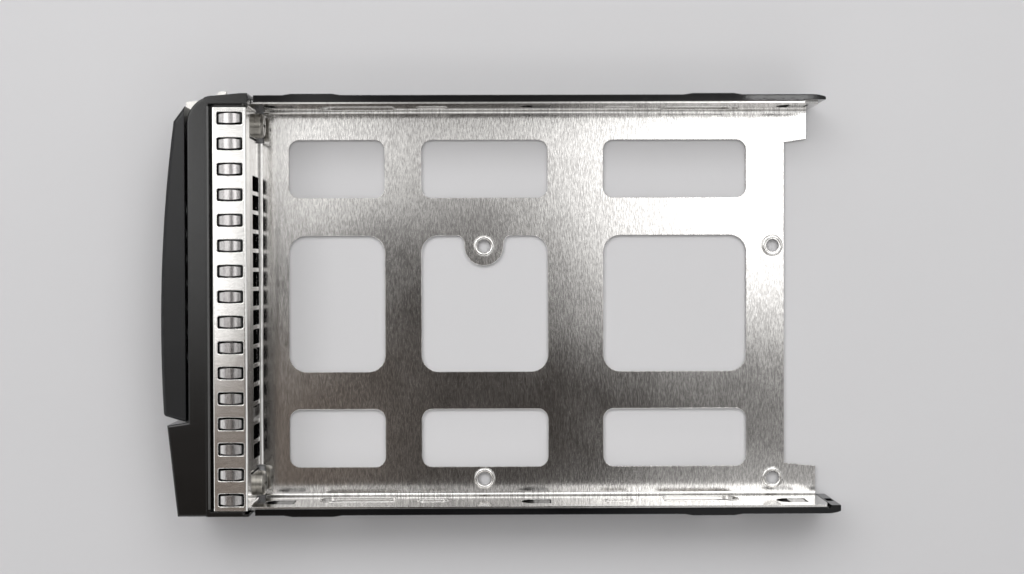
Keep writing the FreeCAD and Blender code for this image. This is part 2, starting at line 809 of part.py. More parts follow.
def rail_outline(side, end):
    """Plan of a rail: flat inside, two raised pads and a rounded lead-in outside."""
    outer = wall_out + s.rail_thickness
    proud = outer + s.rail_pad_rise
    lead = s.rail_lead_length
    drop = s.rail_lead_depth
    bow = (lead * lead + drop * drop) / (2 * drop)
    turn = "left" if side == 1 else "right"
    nose = (end, side * (outer - drop), turn, end - lead, side * (outer - bow))
    points = [(end - lead, outer)]
    for hole in reversed(drive_holes):
        middle = hole - s.rail_pad_offset
        points.append((middle + s.rail_pad_length / 2, outer))
        points.append((middle + s.rail_pad_length / 2 - s.rail_pad_ramp, proud))
        points.append((middle - s.rail_pad_length / 2 + s.rail_pad_ramp, proud))
        points.append((middle - s.rail_pad_length / 2, outer))
    points.append((rail_front, outer))
    points.append((rail_front, wall_out))
    points.append((end, wall_out))
    return [nose] + [(x, side * y) for x, y in points]


def make_rail(label, side, end, wall_end, wall_slope):
    """A slide rail: lip over the wall's edge, hooks in the wall's slots, room for screws and drawn pads."""
    body = new_body(label)
    outer = wall_out + s.rail_thickness
    proud = outer + s.rail_pad_rise
    add(body, "strip", "XY", s.rail_bottom, rail_top, rail_outline(side, end))
    names = []
    for index, edge in enumerate(body.Tip.Shape.Edges, start=1):
        box = edge.BoundBox
        off_wall = min(abs(box.YMin), abs(box.YMax)) > wall_out.number + s.rail_edge.number
        if off_wall and box.ZLength < s.rail_edge.number:
            names.append(f"Edge{index}")
    soften(body, "long_edges", "Chamfer", s.rail_edge, names)
    lip_end = wall_end - wall_slope - s.rail_end_clearance
    lip = rectangle(rail_front, lip_end, *side_span(side, wall_out - s.rail_lip, wall_out))
    add(body, "lip", "XY", s.wall_height, rail_top, lip)
    hooks = []
    for slot in hook_slots:
        rear = slot + s.hook_slot_length - s.rail_hook_clearance
        hooks.append(rectangle(rear - s.rail_hook_length, rear, s.hook_slot_bottom + s.rail_hook_clearance,
                               s.hook_slot_bottom + s.hook_slot_height - s.rail_hook_clearance))
    add(body, "hooks", "XZ", *side_span(side, wall_in + s.rail_hook_setback, wall_out), *hooks)
    reliefs = [
        drawn_pad(drive_holes[0], True, s.rail_relief_clearance),
        drawn_pad(drive_holes[1], False, s.rail_relief_clearance),
    ]
    relief_floor = wall_out + s.drawn_depth + s.rail_relief_clearance
    cut(body, "pad_reliefs", "XZ", *side_span(side, wall_out, relief_floor), *reliefs)
    holes = [circle(hole, s.drive_hole_height, s.rail_screw_radius) for hole in drive_holes]
    cut(body, "screw_holes", "XZ", *side_span(side, wall_out, proud), *holes)
    return body


def make_rails():
    """Left and right rails. The right one wraps the wall's end and carries the light guides."""
    make_rail("side_rail_left", 1, left_end + s.left_rail_reach, left_end, s.left_end_slope)
    body = make_rail("side_rail_right", -1, right_rail_end, right_end, s.right_end_slope)
    heel_start = right_end + s.rail_end_clearance
    heel = rectangle(heel_start, right_rail_end, -wall_out, -wall_in)
    add(body, "heel", "XY", s.rail_bottom, rail_top, heel)
    recess = rectangle(heel_start + s.rail_recess_rim, right_rail_end - s.rail_recess_rim,
                       s.rail_recess_bottom, s.rail_recess_bottom + s.rail_recess_height)
    cut(body, "heel_recess", "XZ", -wall_in - s.rail_recess_depth, -wall_in, recess)
    depth = wall_out + s.guide_thickness + s.guide_slot_clearance
    for name, low, high in guide_levels():
        groove = rectangle(-depth, -wall_out, low - s.guide_slot_clearance, high + s.guide_slot_clearance)
        cut(body, name + "_groove", "YZ", rail_front, right_rail_end, groove)


def guide_levels():
    """Name, underside and top of each light guide."""
    return [
        ("light_guide_lower", s.guide_lower_bottom, s.guide_lower_bottom + s.guide_lower_height),
        ("light_guide_upper", s.guide_upper_bottom, s.guide_upper_bottom + s.guide_upper_height),
    ]


def guide_outline(grow, rear):
    """Plan of a light guide, from its rear end along the rail, across the bend and on to its lens."""
    inner = -(wall_out + s.guide_clearance) + grow
    outer = -(wall_out + s.guide_clearance + s.guide_thickness) - grow
    lens_in = -guide_lane + s.guide_lens_width / 2 + grow
    lens_out = -guide_lane - s.guide_lens_width / 2 - grow
    front = guide_lens_front
    bend_rear = flange_out - s.guide_bend_start
    bend_front = flange_out - s.guide_bend_end
    return [
        (rear, outer), (rear, inner), (bend_rear, inner), (bend_front, lens_in),
        (front, lens_in), (front, lens_out), (bend_front, lens_out), (bend_rear, outer),
    ]


def make_light_guides():
    """Two flat clear guides from the rail's rear end to the front of the fixed block."""
    for name, low, high in guide_levels():
        body = new_body(name)
        add(body, "strip", "XY", low, high, guide_outline(as_size(0), right_rail_end))


def make_front_bezel():
    """The moulded front: body with a rounded corner, fixed block, rooms, slots and bores."""
    body = new_body("front_bezel")
    corner_x = bezel_front + s.bezel_corner
    corner_y = bezel_half - s.bezel_corner
    plan = [
        (flange_out, bezel_left),
        (corner_x, bezel_half, "left", corner_x, corner_y),
        (bezel_front, corner_y),
        (bezel_front, -block_start),
        (bezel_front - s.block_nose, -block_start - s.block_notch),
        (bezel_front - s.block_heel, -bezel_half),
        (flange_out, -bezel_half),
    ]
    add(body, "block", "XY", 0, bezel_top, plan)
    bar_end = flange_out + s.bezel_bar_reach
    skirt_in = wall_out + s.bezel_bar_clearance
    for name, side, edge in (("left_bar", 1, bezel_left), ("right_bar", -1, bezel_half)):
        skirt = rectangle(flange_out, bar_end, *side_span(side, skirt_in, edge))
        add(body, name, "XY", 0, bezel_top, skirt)
    top_bar = rectangle(flange_out, bar_end, left_bar_in, bezel_left)
    add(body, "left_top_bar", "XY", rail_top + s.bezel_bar_gap, bezel_top, top_bar)
    cut_bezel_top(body)
    cut_bezel_rooms(body)
    return body


def cut_bezel_top(body):
    """Rim, seat, groove and trough along the top for the bright channel and its spring strip."""
    rim = rectangle(bezel_front - s.block_nose, bezel_front + s.rim_length, -bezel_half, bezel_half)
    rim_top = bezel_top - s.rim_drop
    cut(body, "rim", "XY", rim_top, bezel_top, rim)
    seat_front = bezel_front + s.groove_front
    place = rectangle(seat_front, flange_out + s.bezel_bar_reach, -right_bar_in, left_bar_in)
    cut(body, "shield_seat", "XY", finger_seat, bezel_top, place)
    groove = rectangle(seat_front, seat_front + s.groove_length, -right_bar_in, left_bar_in)
    cut(body, "shield_groove", "XY", shield_top - s.shield_front_leg, finger_seat, groove)
    half = s.finger_half - s.trough_margin
    trough = rectangle(finger_middle - half, finger_middle + half, -shield_right, shield_left)
    cut(body, "finger_trough", "XY", finger_seat - s.trough_depth, finger_seat, trough)
    names = []
    for index, edge in enumerate(body.Tip.Shape.Edges, start=1):
        box = edge.BoundBox
        on_rim = abs(box.ZMin - rim_top.number) < 0.001 and abs(box.ZMax - rim_top.number) < 0.001
        if on_rim and box.XMin < (bezel_front + s.rim_length).number - 0.01:
            names.append(f"Edge{index}")
    soften(body, "rim_edges", "Fillet", s.rim_edge, names)


def cut_bezel_rooms(body):
    """The vent room and its face slots, the lever's corner, the thumb slide's room and the bores."""
    inside = bezel_front + s.bezel_wall
    vent_room = rectangle(-vent_room_right, vent_room_left, s.bezel_floor, bezel_roof)
    cut(body, "vent_room", "YZ", inside, flange_out, vent_room)
    slot_first = vent_room_left - s.face_slot_margin
    face_slot = rounded(slot_first - s.face_slot_width / 2, slot_first + s.face_slot_width / 2,
                        s.face_slot_bottom, s.face_slot_bottom + s.face_slot_height, s.face_slot_corner)
    slot = cut(body, "face_slot", "YZ", bezel_front, inside, face_slot)
    row(body, [slot], "face_slots", "Y", s.face_slot_pitch * (s.face_slot_count - 1), s.face_slot_count,
        reverse=True)
    corner = rectangle(bezel_front, flange_out - s.plate_room_wall, pivot_y - s.plate_room_reach, bezel_left)
    cut(body, "lever_corner", "XY", room_bottom, room_top, corner)
    bore = circle(pivot_x, pivot_y, s.pin_radius + s.pin_seat_clearance)
    cut(body, "pin_bore", "XY", 0, pin_top + s.pin_end_clearance, bore)
    bores = []
    for side in (1, -1):
        bores.append(circle(side * screw_side, s.corner_screw_height,
                            s.screw_radius + s.screw_bore_clearance))
    screw_end = flange_in - s.screw_length - s.screw_clearance
    cut(body, "screw_bores", "YZ", screw_end, flange_out, *bores)
    boss_in = screw_side - s.boss_half
    room = [
        (-block_room_end, s.boss_top), (-boss_in, s.boss_top), (-boss_in, s.bezel_floor),
        (-block_room_start, s.bezel_floor), (-block_room_start, bezel_roof), (-block_room_end, bezel_roof),
    ]
    cut(body, "slide_room", "YZ", block_room_front, flange_out, room)
    thumb_window = rectangle(-thumb_start - s.thumb_width - s.slide_travel - s.slide_clearance,
                             -thumb_start + s.slide_clearance, s.thumb_bottom - s.slide_clearance,
                             s.thumb_bottom + s.thumb_height + s.slide_clearance)
    cut(body, "thumb_window", "YZ", bezel_front - s.block_nose, block_room_front, thumb_window)
    tongue_rear = tongue_back()
    passage = rectangle(tongue_rear - s.tongue_thickness - s.hook_room, tongue_rear + s.hook_room,
                        s.hook_bottom - s.hook_room, hook_top + s.hook_room)
    cut(body, "tongue_passage", "XZ", -block_room_start, -vent_room_right, passage)
    hook_window = rectangle(-hook_start - s.hook_width - s.barb_width - s.hook_room,
                            -hook_start + s.hook_room, s.hook_bottom - s.hook_room, hook_top + s.hook_room)
    cut(body, "hook_window", "YZ", bezel_front, inside, hook_window)
    rear = flange_out + s.bezel_bar_reach
    for name, low, high in guide_levels():
        channel = guide_outline(s.guide_slot_clearance, rear)
        cut(body, name + "_channel", "XY", low - s.guide_slot_clearance, high + s.guide_slot_clearance,
            channel)
        opening = rectangle(bezel_front - s.block_nose, guide_lens_front,
                            -guide_lane - s.guide_lens_width / 2, -guide_lane + s.guide_lens_width / 2)
        cut(body, name + "_window", "XY", low, high, opening)


def tongue_back():
    """x of the thumb slide's tongue, on the side that faces the barb."""
    return lever_back + s.hook_reach - s.barb_length - s.tongue_setback


def make_emi_shield():
    """The bright channel over the bezel's top edge, with a row of windows."""
    body = new_body("emi_shield")
    front = shield_front
    rear = flange_in + s.shield_sheet
    top = shield_top
    skin = s.shield_sheet
    section = [
        (front, top - s.shield_front_leg), (front + skin, top - s.shield_front_leg),
        (front + skin, top - skin), (rear - skin, top - skin),
        (rear - skin, top - s.shield_rear_leg), (rear, top - s.shield_rear_leg),
        (rear, top), (front, top),
    ]
    add(body, "channel", "XZ", -shield_right, shield_left, section)
    bends = edges_at(body, "y", [{"x": front, "z": top}, {"x": rear, "z": top}])
    soften(body, "bends", "Fillet", s.shield_bend, bends)
    window = rounded(finger_window_front, finger_window_front + s.finger_window_length,
                     finger_first - s.finger_window_width / 2, finger_first + s.finger_window_width / 2,
                     s.finger_window_corner)
    opening = cut(body, "finger_window", "XY", top - skin, top, window)
    row(body, [opening], "finger_windows", "Y", finger_row, finger_count, reverse=True)


def make_spring_strip():
    """The spring strip: two carriers joined by fingers that stand up on short legs, bowed on top."""
    body = new_body("emi_spring_strip")
    skin = s.spring_sheet
    middle = finger_middle
    half = s.finger_half
    crown = shield_top + s.finger_rise
    knee = crown - s.finger_bow
    bow = (half * half + s.finger_bow * s.finger_bow) / (2 * s.finger_bow)
    centre = crown - bow
    inner = half - skin
    inner_knee = centre + root_of((bow - skin) * (bow - skin) - inner * inner)
    finger = [
        (middle + half, finger_seat), (middle + half, knee, "left", middle, centre),
        (middle - half, knee), (middle - half, finger_seat),
        (middle - inner, finger_seat), (middle - inner, inner_knee, "right", middle, centre),
        (middle + inner, inner_knee), (middle + inner, finger_seat),
    ]
    blank = s.finger_width / 2 + s.finger_trim
    first = add(body, "finger", "XZ", finger_first - blank, finger_first + blank, finger)
    waist = (s.finger_width - s.finger_end_width) / 2
    barrel = (half * half + waist * waist) / (2 * waist)
    sides = []
    for side, turn in ((1, "right"), (-1, "left")):
        end_side = finger_first + side * s.finger_end_width / 2
        axis = finger_first + side * (s.finger_width / 2 - barrel)
        outside = finger_first + side * blank
        sides.append([
            (middle - half, end_side, turn, middle, axis), (middle + half, end_side),
            (middle + half, outside), (middle - half, outside),
        ])
    barrel_sides = cut(body, "finger_sides", "XY", finger_seat, crown, *sides)
    row(body, [first, barrel_sides], "fingers", "Y", finger_row, finger_count, reverse=True)
    low = s.carrier_end_gap - shield_right
    high = shield_left - s.carrier_end_gap
    carriers = [
        rectangle(middle - inner - s.carrier_width, middle - inner, low, high),
        rectangle(middle + inner, middle + inner + s.carrier_width, low, high),
    ]
    add(body, "carriers", "XY", finger_seat, finger_seat + skin, *carriers)


def make_lever_handle():
    """The lever: a bowed bar with a hollow back, a plain grille, a slot for its plate and a hook."""
    body = new_body("lever_handle")
    tip_front = lever_back - s.lever_tip_depth
    tip_side = lever_tip - s.lever_chamfer
    end_front = lever_back - s.lever_end_depth
    plan = [
        (lever_back, lever_tip),
        (tip_front, tip_side, "left", s.lever_bow_radius),
        (end_front, -lever_end),
        (lever_back, -lever_end - s.lever_heel),
    ]
    add(body, "bar", "XY", s.lever_bottom, lever_top, plan)
    names = []
    for index, edge in enumerate(body.Tip.Shape.Edges, start=1):
        middle = edge.BoundBox.Center
        if middle.x < lever_back.number - 0.01 and edge.BoundBox.ZLength < 0.01:
            names.append(f"Edge{index}")
    names += edges_at(body, "z", [{"x": end_front, "y": -lever_end}])
    soften(body, "bar_edges", "Fillet", s.lever_edge, names)
    hollow = rectangle(-(lever_end - s.lever_hollow_stop), lever_hollow_left, s.lever_bottom + s.lever_wall,
                       lever_top - s.lever_wall)
    cut(body, "hollow", "YZ", lever_back - s.lever_hollow_depth, lever_back, hollow)
    first = lever_hollow_left - s.grille_margin
    slot = rounded(first - s.grille_width / 2, first + s.grille_width / 2,
                   s.grille_bottom, s.grille_bottom + s.grille_height, s.grille_corner)
    opening = cut(body, "grille_slot", "YZ", lever_back - s.grille_reach, lever_back, slot)
    row(body, [opening], "grille", "Y", s.grille_pitch * (s.grille_count - 1), s.grille_count, reverse=True)
    seat = rectangle(arm_front - s.plate_seat_clearance, lever_back,
                     arm_tail - s.plate_seat_clearance, lever_tip)
    cut(body, "plate_slot", "XY", s.plate_bottom - s.plate_seat_clearance, plate_top + s.plate_seat_clearance,
        seat)
    hook_end = lever_back + s.hook_reach
    post = rectangle(lever_back, hook_end, -hook_start - s.hook_width, -hook_start)
    add(body, "hook", "XY", s.hook_bottom, hook_top, post)
    barb_side = -hook_start - s.hook_width
    barb = rectangle(hook_end - s.barb_length, hook_end, barb_side - s.barb_width, barb_side)
    add(body, "barb", "XY", s.hook_bottom, hook_top, barb)


def make_lever_plate():
    """The steel plate: hub on the pin, arm into the lever, toe out of the tray's side."""
    body = new_body("lever_plate")
    add(body, "hub", "XY", s.plate_bottom, plate_top, circle(pivot_x, pivot_y, s.hub_radius))
    knee = pivot_y - s.arm_knee_drop
    arm = [
        (pivot_x, pivot_y - s.arm_root), (arm_front + s.arm_width, knee - s.arm_root),
        (arm_front + s.arm_width, arm_tail), (arm_front, arm_tail), (arm_front, knee),
        (arm_front + s.arm_corner_setback, pivot_y + s.arm_corner_reach),
        (pivot_x - s.hub_radius, pivot_y + s.arm_shoulder), (pivot_x, pivot_y + s.hub_radius),
    ]
    add(body, "arm", "XY", s.plate_bottom, plate_top, arm)
    toe_front = pivot_x + s.toe_setback
    toe_side = bezel_half + s.toe_reach
    toe = [
        (pivot_x - s.toe_root_front, pivot_y), (pivot_x + s.toe_root_rear, pivot_y),
        (toe_front + s.toe_width, toe_side), (toe_front, toe_side),
        (pivot_x - s.toe_root_front, pivot_y + s.hub_radius),
    ]
    add(body, "toe", "XY", s.plate_bottom, plate_top, toe)
    hole = circle(pivot_x, pivot_y, s.pin_radius + s.pin_running_clearance)
    cut(body, "pin_hole", "XY", s.plate_bottom, plate_top, hole)


def make_hinge_pin():
    """The straight pin through the bezel's corner."""
    body = new_body("hinge_pin")
    add(body, "pin", "XY", s.pin_bottom, pin_top, circle(pivot_x, pivot_y, s.pin_radius))


def make_release_slider():
    """The thumb slide: ribbed pad in its window, skirt behind it and a tongue beside the lever's barb."""
    body = new_body("release_slider")
    skirt_front = block_room_front + s.slide_clearance
    skirt_back = skirt_front + s.skirt_thickness
    thumb_top = s.thumb_bottom + s.thumb_height
    skirt_start = block_room_start + s.skirt_inset
    skirt = rectangle(-skirt_end, -skirt_start,
                      s.thumb_bottom - s.skirt_margin, thumb_top + s.skirt_margin)
    add(body, "skirt", "YZ", skirt_front, skirt_back, skirt)
    thumb = rectangle(-thumb_start - s.thumb_width, -thumb_start, s.thumb_bottom, thumb_top)
    thumb_front = block_room_front - s.thumb_reach
    add(body, "thumb_pad", "YZ", thumb_front, skirt_front, thumb)
    ribs = []
    for step in range(int(s.thumb_rib_count.number)):
        start = -thumb_start - s.thumb_rib_inset - s.thumb_rib_pitch * step
        ribs.append(rectangle(start - s.thumb_rib_width, start, s.thumb_bottom, thumb_top))
    add(body, "thumb_ribs", "YZ", thumb_front - s.thumb_rib_rise, thumb_front, *ribs)
    tongue_rear = tongue_back()
    stem_end = -skirt_start - s.tongue_stem
    stem = rectangle(skirt_back, tongue_rear, stem_end, -skirt_start)
    add(body, "stem", "XY", s.hook_bottom, hook_top, stem)
    tip = -hook_start - s.hook_width - s.barb_width - s.slide_clearance
    tongue = rectangle(tongue_rear - s.tongue_thickness, tongue_rear, stem_end, tip)
    add(body, "tongue", "XY", s.hook_bottom, hook_top, tongue)


def make_release_spring():
    """The coil that pushes the thumb slide back, between its skirt and the end of its room."""
    body = new_body("release_spring")
    wire = s.spring_wire
    section = sketch(body, "wire", "XZ", 0, [circle(s.spring_radius, wire, wire)])
    doc.recompute()
    coil = body.newObject("PartDesign::AdditiveHelix", "coil")
    coil.Profile = section
    coil.ReferenceAxis = (section, ["V_Axis"])
    coil.Mode = "pitch-turns-angle"
    length = block_room_end - skirt_end - 2 * wire
    bind(coil, "Pitch", length / s.spring_turns)
    bind(coil, "Turns", s.spring_turns)
    body.Placement = FreeCAD.Placement(FreeCAD.Vector(), FreeCAD.Rotation(FreeCAD.Vector(1, 0, 0), -90))
    bind(body, "Placement.Base.x", block_room_front + s.spring_radius + wire + s.slide_clearance)
    bind(body, "Placement.Base.y", -block_room_end)
    bind(body, "Placement.Base.z", s.thumb_bottom + s.thumb_height / 2)
    doc.recompute()


def make_bezel_screws():
    """Two pan-head screws with a cross recess, heads inside the tray."""
    screws = []
    for name, side in (("left", 1), ("right", -1)):
        head = doc.addObject("Part::Cylinder", f"{name}_screw_head")
        bind(head, "Radius", s.screw_head_radius)
        bind(head, "Height", s.screw_head_height)
        shank = doc.addObject("Part::Cylinder", f"{name}_screw_shank")
        bind(shank, "Radius", s.screw_radius)
        bind(shank, "Height", s.screw_length)
        bind(shank, "Placement.Base.z", -s.screw_length)
        doc.recompute()
        pan = doc.addObject("Part::Fillet", f"{name}_screw_pan")
        pan.Base = head
        rim = [index for index, edge in enumerate(head.Shape.Edges, start=1)
               if isinstance(edge.Curve, Part.Circle) and edge.CenterOfMass.z > head.Height.Value / 2]
        pan.Edges = [(index, s.screw_head_round.number, s.screw_head_round.number) for index in rim]
        whole = doc.addObject("Part::Fuse", f"{name}_screw_blank")
        whole.Base = pan
        whole.Tool = shank
        recesses = []
        for turn, (length, width) in enumerate(((s.screw_recess_length, s.screw_recess_width),
                                                (s.screw_recess_width, s.screw_recess_length))):
            recess = doc.addObject("Part::Box", f"{name}_screw_recess_{turn}")
            bind(recess, "Length", length)
            bind(recess, "Width", width)
            bind(recess, "Height", s.screw_recess_depth)
            bind(recess, "Placement.Base.x", -length / 2)
            bind(recess, "Placement.Base.y", -width / 2)
            bind(recess, "Placement.Base.z", s.screw_head_height - s.screw_recess_depth)
            recesses.append(recess)
        cross = doc.addObject("Part::Fuse", f"{name}_screw_cross")
        cross.Base, cross.Tool = recesses
        screw = doc.addObject("Part::Cut", f"{name}_screw")
        screw.Base = whole
        screw.Tool = cross
        screw.Placement = FreeCAD.Placement(FreeCAD.Vector(), FreeCAD.Rotation(FreeCAD.Vector(0, 1, 0), 90))
        bind(screw, "Placement.Base.x", flange_in)
        bind(screw, "Placement.Base.y", side * screw_side)
        bind(screw, "Placement.Base.z", s.corner_screw_height)
        screws.append(screw)
    pair = doc.addObject("Part::Compound", "bezel_screws")
    pair.Label = "bezel_screws"
    pair.Links = screws
    PARTS.append(pair)
    doc.recompute()


def write_parts():
    """Checks every object and writes each piece to its own file."""
    for thing in doc.Objects:
        if "Invalid" in thing.State or "Error" in thing.State:
            raise ValueError(f"{thing.Label} failed: {thing.State}")
    for piece in PARTS:
        if piece.Shape.isNull() or not piece.Shape.isValid():
            raise ValueError(f"{piece.Label} has no valid shape")
    os.makedirs("parts", exist_ok=True)
    for piece in PARTS:
        piece.Shape.exportStep(f"parts/{piece.Label}.step")
        box = piece.Shape.BoundBox
        print(f"{piece.Label}: {len(piece.Shape.Solids)} solid, {piece.Shape.Volume:.1f} mm3, "
              f"x {box.XMin:.2f} {box.XMax:.2f}, y {box.YMin:.2f} {box.YMax:.2f}, "
              f"z {box.ZMin:.2f} {box.ZMax:.2f}")


make_tray_sheet()
make_rails()
make_light_guides()
make_front_bezel()
make_emi_shield()
make_spring_strip()
make_lever_handle()
make_lever_plate()
make_hinge_pin()
make_release_slider()
make_release_spring()
make_bezel_screws()
doc.recompute()
write_parts()
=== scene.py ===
"""Looks of the hard drive tray: finishes, edge beads, floor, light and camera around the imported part.

All is in the part's own frame: +X to the rear, +Y to the lever's pivot, +Z up. The classes of pieces
hold their sizes in mm. Their meshes, the finishes and the studio are in metres.
"""

from __future__ import annotations

import json
import logging
from dataclasses import dataclass
from enum import Enum
from typing import Optional, Union

import bpy
import numpy as np
from mathutils import Matrix

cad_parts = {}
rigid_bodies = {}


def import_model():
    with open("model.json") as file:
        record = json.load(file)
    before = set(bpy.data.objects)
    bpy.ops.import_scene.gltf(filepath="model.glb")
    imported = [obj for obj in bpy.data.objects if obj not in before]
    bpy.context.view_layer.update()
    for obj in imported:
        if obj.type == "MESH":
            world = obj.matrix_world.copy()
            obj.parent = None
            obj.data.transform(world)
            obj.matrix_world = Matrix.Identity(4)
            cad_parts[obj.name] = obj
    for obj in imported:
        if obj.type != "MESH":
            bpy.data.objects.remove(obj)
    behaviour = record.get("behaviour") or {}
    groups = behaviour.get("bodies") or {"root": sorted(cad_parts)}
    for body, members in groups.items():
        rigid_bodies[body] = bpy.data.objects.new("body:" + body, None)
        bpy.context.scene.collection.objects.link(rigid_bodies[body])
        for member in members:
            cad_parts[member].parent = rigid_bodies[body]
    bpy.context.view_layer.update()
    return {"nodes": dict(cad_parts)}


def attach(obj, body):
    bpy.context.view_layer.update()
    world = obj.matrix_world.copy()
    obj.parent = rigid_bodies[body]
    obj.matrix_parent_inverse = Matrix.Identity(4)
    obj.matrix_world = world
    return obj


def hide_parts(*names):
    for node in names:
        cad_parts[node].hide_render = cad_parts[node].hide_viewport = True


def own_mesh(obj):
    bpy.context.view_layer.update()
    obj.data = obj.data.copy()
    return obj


LOG = logging.getLogger("tray")
MM = 0.001
ARC_POINTS = 16
BEAD_SIDES = 10
EDGE_SAMPLES = 4
QUARTER_TURN = 90
WHITE = (1.0, 1.0, 1.0, 1.0)
BLACK = (0.0, 0.0, 0.0, 1.0)
ALONG_X = (1.0, 0.0, 0.0)
ALONG_Y = (0.0, 1.0, 0.0)
UPWARDS = (0.0, 0.0, 1.0)

# Numbers of a Mix node's two colours and of the mixed colour among its sockets.
MIX_DARK = 6
MIX_LIGHT = 7
MIX_RESULT = 2

Pair = tuple[float, float]
Triple = tuple[float, float, float]
Four = tuple[float, float, float, float]
Colour = tuple[float, float, float]


class Side(Enum):
    """A side of the tray, as the sign of its y."""

    LEFT = 1
    RIGHT = -1


class Metal(Enum):
    """Where the metal lies beside an arc, as the sign of the way out from the arc's centre."""

    OUTSIDE = 1
    INSIDE = -1


class Sight(Enum):
    """A way in which a thing is seen, by the name of its output on a Light Path node."""

    STRAIGHT = "Is Camera Ray"
    MIRRORED = "Is Glossy Ray"
    THROUGH_GLASS = "Is Transmission Ray"


class Graph:
    """A node tree, which gets all its nodes from one method."""

    def __init__(self, tree: bpy.types.NodeTree) -> None:
        """Keeps the tree."""
        self.tree = tree

    def feed(self, socket: bpy.types.NodeSocket, value: Value) -> None:
        """Links an input to a signal or an output, or else gives it a plain value.

        Args:
            socket: the input.
            value: what it gets.
        """
        if isinstance(value, Signal):
            value = value.socket
        if isinstance(value, bpy.types.NodeSocket):
            self.tree.links.new(value, socket)
        else:
            socket.default_value = value

    def node(self, kind: str, settings: Optional[dict[str, object]] = None,
             sockets: Optional[dict[Union[str, int], Value]] = None) -> bpy.types.Node:
        """Adds one node.

        Args:
            kind: the node's type.
            settings: its settings by name, which are set first.
            sockets: values or links of its inputs, by name or number.

        Returns:
            The node.
        """
        made = self.tree.nodes.new(kind)
        for name, setting in (settings or {}).items():
            setattr(made, name, setting)
        for key, value in (sockets or {}).items():
            self.feed(made.inputs[key], value)
        return made

    def in_view(self) -> Signal:
        """Tells what is seen, straight or in a mirror or through glass, from what only lights the part.

        Returns:
            1 or more where it is seen, otherwise 0.
        """
        path = self.node("ShaderNodeLightPath")
        straight, mirrored, through_glass = (Signal(self, path.outputs[way.value]) for way in Sight)
        return straight + mirrored + through_glass

    def show_mix(self, amount: Signal, first: bpy.types.Node, second: bpy.types.Node,
                 output: str) -> None:
        """Shows a mix of two shaders.

        Args:
            amount: 0 for the first shader, 1 for the second.
            first: one shader.
            second: the other shader.
            output: name of the tree's output node.
        """
        mix = self.node("ShaderNodeMixShader", {},
                        {0: amount, 1: first.outputs[0], 2: second.outputs[0]})
        self.feed(self.tree.nodes[output].inputs["Surface"], mix.outputs[0])


class Signal:
    """One number that varies over a surface: a shader socket with arithmetic."""

    def __init__(self, graph: Graph, socket: bpy.types.NodeSocket) -> None:
        """Keeps the output that carries the number, and its graph."""
        self.graph = graph
        self.socket = socket

    def _math(self, operation: str, *operands: Operand) -> Signal:
        """Returns the result of one Math node on the operands."""
        node = self.graph.node("ShaderNodeMath", {"operation": operation}, dict(enumerate(operands)))
        return Signal(self.graph, node.outputs[0])

    def __add__(self, other: Operand) -> Signal:
        """Returns the sum."""
        return self._math("ADD", self, other)

    def __radd__(self, other: Operand) -> Signal:
        """Returns the sum."""
        return self._math("ADD", other, self)

    def __sub__(self, other: Operand) -> Signal:
        """Returns the difference."""
        return self._math("SUBTRACT", self, other)

    def __rsub__(self, other: Operand) -> Signal:
        """Returns the difference, the other way round."""
        return self._math("SUBTRACT", other, self)

    def __mul__(self, other: Operand) -> Signal:
        """Returns the product."""
        return self._math("MULTIPLY", self, other)

    def __rmul__(self, other: Operand) -> Signal:
        """Returns the product."""
        return self._math("MULTIPLY", other, self)

    def __abs__(self) -> Signal:
        """Returns the size without its sign."""
        return self._math("ABSOLUTE", self)

    def __pow__(self, power: Operand) -> Signal:
        """Returns the power."""
        return self._math("POWER", self, power)

    def sine(self) -> Signal:
        """Returns the sine, in radians."""
        return self._math("SINE", self)

    def between(self, low: float, high: float) -> Signal:
        """Stretches a range to 0..1 by a smooth step.

        Args:
            low: value that gives 0.
            high: value that gives 1.

        Returns:
            The stretched value, held at 0 and 1 outside the range.
        """
        node = self.graph.node("ShaderNodeMapRange", {"interpolation_type": "SMOOTHSTEP"},
                               {"Value": self, "From Min": low, "From Max": high})
        return Signal(self.graph, node.outputs["Result"])


Operand = Union[Signal, float]
Value = Union[Signal, bpy.types.NodeSocket, float, Triple, Four]


